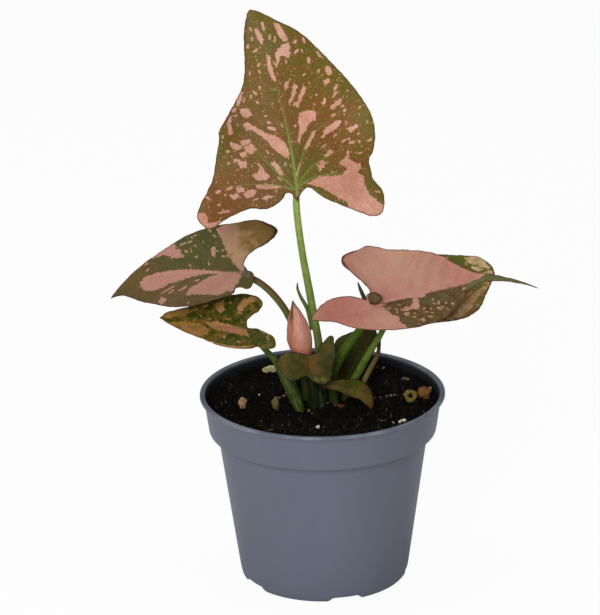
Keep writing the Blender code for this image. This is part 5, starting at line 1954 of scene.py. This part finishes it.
STALKS = (
    Stalk("tall_leaf_stalk", Route((3, 52, 835, -3, 46, 954, -5, 42, 1023, -16, 40, 1186,
        -24, 40, 1243, -39, 40, 1337, -55, 37, 1441, -85, 31, 1628, -106, 27, 1800), (2.8, 2.3,
        2.1, 2, 1.95, 1.95, 1.9, 1.75, 1.7)), StalkFinish("tall_stalk", "#303e12", "#96ab54",
        "#7c7a3c", streaks=0.35), blade=TALL_BLADE, tip=Route((-44, 38, 1250, -57, 32, 1322,
        -67, 29, 1360, -80, 26, 1387, -95, 23, 1416, -106, 20, 1443, -114, 18, 1470,
        -113, 16, 1496), (1.2, 1.2, 1.1, 1, 0.9, 0.75, 0.65, 0.3))),
    Stalk("upper_left_leaf_stalk", Route((-70, 94, 835, -79, 90, 937, -97, 85, 1071,
        -115, 80, 1178, -136, 74, 1253, -178, 64, 1348, -235, 56, 1430, -292, 48, 1487), (2.6, 2.3,
        2, 1.9, 1.85, 1.8, 1.8, 1.7)), StalkFinish("upper_left_stalk", "#4c5a22", "#666a34",
        "#6a5030", flush="#6e4a30", streaks=0.3), blade=UPPER_LEFT_BLADE),
    Stalk("lower_left_leaf_stalk", Route((-99, -56, 835, -129, -55, 922, -171, -53, 1020,
        -223, -52, 1120, -269, -51, 1175, -303, -51, 1218), (1.9, 3.2, 3, 1.7, 1.45, 1.3)),
        StalkFinish("lower_left_stalk", "#3a4c1c", "#4e6426", "#848c5c", streaks=0.55),
        blade=LOWER_LEFT_BLADE),
    Stalk("right_leaf_stalk", Route((62, 29, 835, 52, 22, 937, 55, 10, 1024, 87, 0, 1111,
        137, -20, 1201, 186, -35, 1272, 213, -40, 1321), (2.6, 2.6, 2.5, 2.3, 2.1, 1.8, 1.5)),
        # its hooked sheath tip is dark with painted shade
        StalkFinish("right_stalk", "#242e10", "#547420", "#5c5a26", tip="#3a3c1c", streaks=0.3),
        blade=RIGHT_BLADE, tip=Route((206, -36, 1311, 210, -24, 1371, 214, -26, 1406,
        204, -22, 1436, 189, -18, 1471, 178, -16, 1506), (0.9, 0.9, 1.05, 1.05, 0.85, 0.3))),
    Stalk("rear_right_leaf_stalk", Route((106, 90, 835, 126, 96, 916, 166, 100, 975,
        216, 100, 1071, 261, 100, 1148, 300, 95, 1218), (2.2, 2.2, 2.1, 1.9, 1.7, 1.4)),
        StalkFinish("rear_right_stalk", "#2a3a10", "#7c9c3c", "#6a6c30", streaks=0.3),
        blade=REAR_RIGHT_BLADE),
    # The low front, drooping and furled stalks stand in the crown under the low leaves; their
    # near-black greens are painted shade.
    Stalk("low_front_leaf_stalk", Route((-31, -56, 835, -36, -52, 934, -55, -52, 1023),
        (3.6, 2.9, 1.4)), StalkFinish("low_front_stalk", "#121a08", "#1e2a0e", "#1c220c",
        streaks=0.3, roughness=0.6), blade=LOW_FRONT_BLADE, approach=-0.5),
    Stalk("drooping_leaf_stalk", Route((2, -78, 835, -2, -70, 913, -11, -62, 953), (2.4, 1.9, 1)),
        StalkFinish("drooping_stalk", "#121a08", "#1e280e", "#1c220c", streaks=0.3, roughness=0.6),
        blade=DROOPING_BLADE, approach=1.5),
    Stalk("furled_leaf_stalk", Route((-58, 16, 835, -60, 15, 935, -66, 13, 1034, -76, 12, 1096),
        (1.7, 1.6, 1.4, 1.2)), StalkFinish("furled_stalk", "#12180a", "#3c4a1c", "#3a3018",
        streaks=0.2, roughness=0.6)),
    Stalk("withered_strand", Route((173, 130, 840, 194, 126, 913, 221, 124, 972, 248, 122, 1027,
        275, 126, 1080, 282, 130, 1134, 287, 130, 1170), (1.1, 1.3, 1.35, 1.3, 1.1, 0.85, 0.4)),
        StalkFinish("withered", "#969050", "#4e3020", "#5e4630", streaks=0.6, roughness=0.8),
        slot=Slot.DRY, channel=0.4),
)

FURLED = FurledLeaf((-77, 12, 1092, -83, 12, 1115, -97, 12, 1151, -106, 12, 1204, -110, 12, 1255,
    -118, 12, 1307, -127, 13, 1359, -133, 15, 1384, -138, 16, 1405), (1.3, 2.8, 5.2, 6.1, 5.7, 4.5,
    2.4, 1.1, 0.3), (1.2, 2, 3, 3.2, 3.2, 2.8, 1.8, 1, 0.3))

STREWN = (
    Strewing(Litter.PEAT, 520000, 0.7, 3.4, 11, LooseMatter("peat", "#060504", "#1c1610", 1, 0.95,
        0.8)),
    Strewing(Litter.FIBRE, 30000, 2, 8, 5, LooseMatter("peat_fibre", "#0c0906", "#8a6c40", 2, 0.9,
        0.3), sink=0.4),
    Strewing(Litter.GRAIN, 3000, 0.3, 1.1, 23, LooseMatter("sand_grain", "#6a5438", "#c8bca0", 0.8,
        0.9, 0.5), sink=0.3),
)

LUMPS = (
    Lump("pale_bark", (-256, 412, 36, 14, 19), LooseMatter("pale_bark", "#b0a068", "#fff2bc", 1.4),
        1, "pale_bark_chip", 12),
    Lump("tan_bark", (-390, -18, 22, 16, 30), LooseMatter("tan_bark", "#7a4c2c", "#e4bc90", 0.9),
        2, "tan_bark_chip", 40),
    Lump("olive_bark", (-227, -36, 23, 18, 37), LooseMatter("olive_bark", "#1c1a0a", "#aca064",
        0.55), 3, "olive_bark_lump", 70),
    Lump("brown_bark", (499, 49, 31, 28, 33), LooseMatter("brown_bark", "#4a2c14", "#b88648", 0.7),
        4, "brown_bark_lump", 10),
    Lump("orange_fibre", (89, -42, 20, 12, 10, 64, -46, 10, 7, 6, 106, -30, 7, 6, 6),
        LooseMatter("orange_fibre", "#2c180c", "#7a4a28", 0.7), 5, "orange_fibre_chip", -15),
    Lump("cream_grains", (389, -250, 11, 9, 9, 370, -258, 9, 8, 8, 376, -240, 7, 6, 6,
        334, -261, 8, 7, 7, 532, 126, 7, 7, 8, -25, -290, 10.5, 9, 9, -14, 4, 5.5, 5, 5,
        26, 2, 5, 5, 5, -310, 146, 5, 5, 5), LooseMatter("cream_grain", "#c0ac88", "#f0e8d4", 0.8,
        0.9, 0.4), 6, detail=3),
    Lump("pinkish_grains", (284, 80, 6, 5, 5, 260, 82, 7, 5, 5, 316, 88, 8, 5, 5, 336, 89, 9, 6, 5,
        356, 92, 8, 5, 5, 370, 80, 6, 5, 5, -173, 153, 9, 8, 8, -190, 121, 9, 5, 6,
        -210, 100, 6, 5, 6, 310, 416, 12, 7, 6, 280, 426, 9, 6, 5), LooseMatter("pinkish_grain",
        "#5a3c34", "#b08878", 0.7), 7, detail=3),
    Lump("grey_grains", (410, 277, 15, 9, 9, 428, 274, 8, 7, 7, -66, -96, 9, 8, 8),
        LooseMatter("grey_green_grain", "#3c3c20", "#8c8c58", 0.8), 8, detail=3),
    Lump("golden_fibres", (3, -286, 5, 4, 5, -49, -304, 4, 4, 4, 16, -296, 9, 3.5, 3.5,
        -162, -280, 3, 3, 19, -256, -330, 16, 3, 3, -440, -140, 8, 4, 4, 310, -90, 5, 4, 12,
        330, -170, 4, 4, 12, -300, -200, 9, 3, 3, 220, -124, 8, 4, 4), LooseMatter("golden_fibre",
        "#241c0c", "#7c6434", 0.8), 9, detail=3),
)

CURL = CurledBark(43.1, 1.6, 2.1, 1.1, 58, LooseMatter("ring_bark", "#221c08", "#bca450", 0.55))


def main() -> None:
    """Build every piece in order, then the studio."""
    logging.basicConfig(level=logging.INFO, format="%(message)s")
    for item in list(bpy.data.objects):
        bpy.data.objects.remove(item)
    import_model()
    pot, soil = NurseryPot(), SoilPlug()
    pot.build()
    soil.build(pot)
    for litter in STREWN:
        litter.build(soil.top())
    for lump in (*LUMPS, CURL):
        lump.build(soil)
    for piece in (*STALKS, *BLADES, *FOLDS, FURLED):
        piece.build()
    Studio().build()


if __name__ == "__main__":
    main()
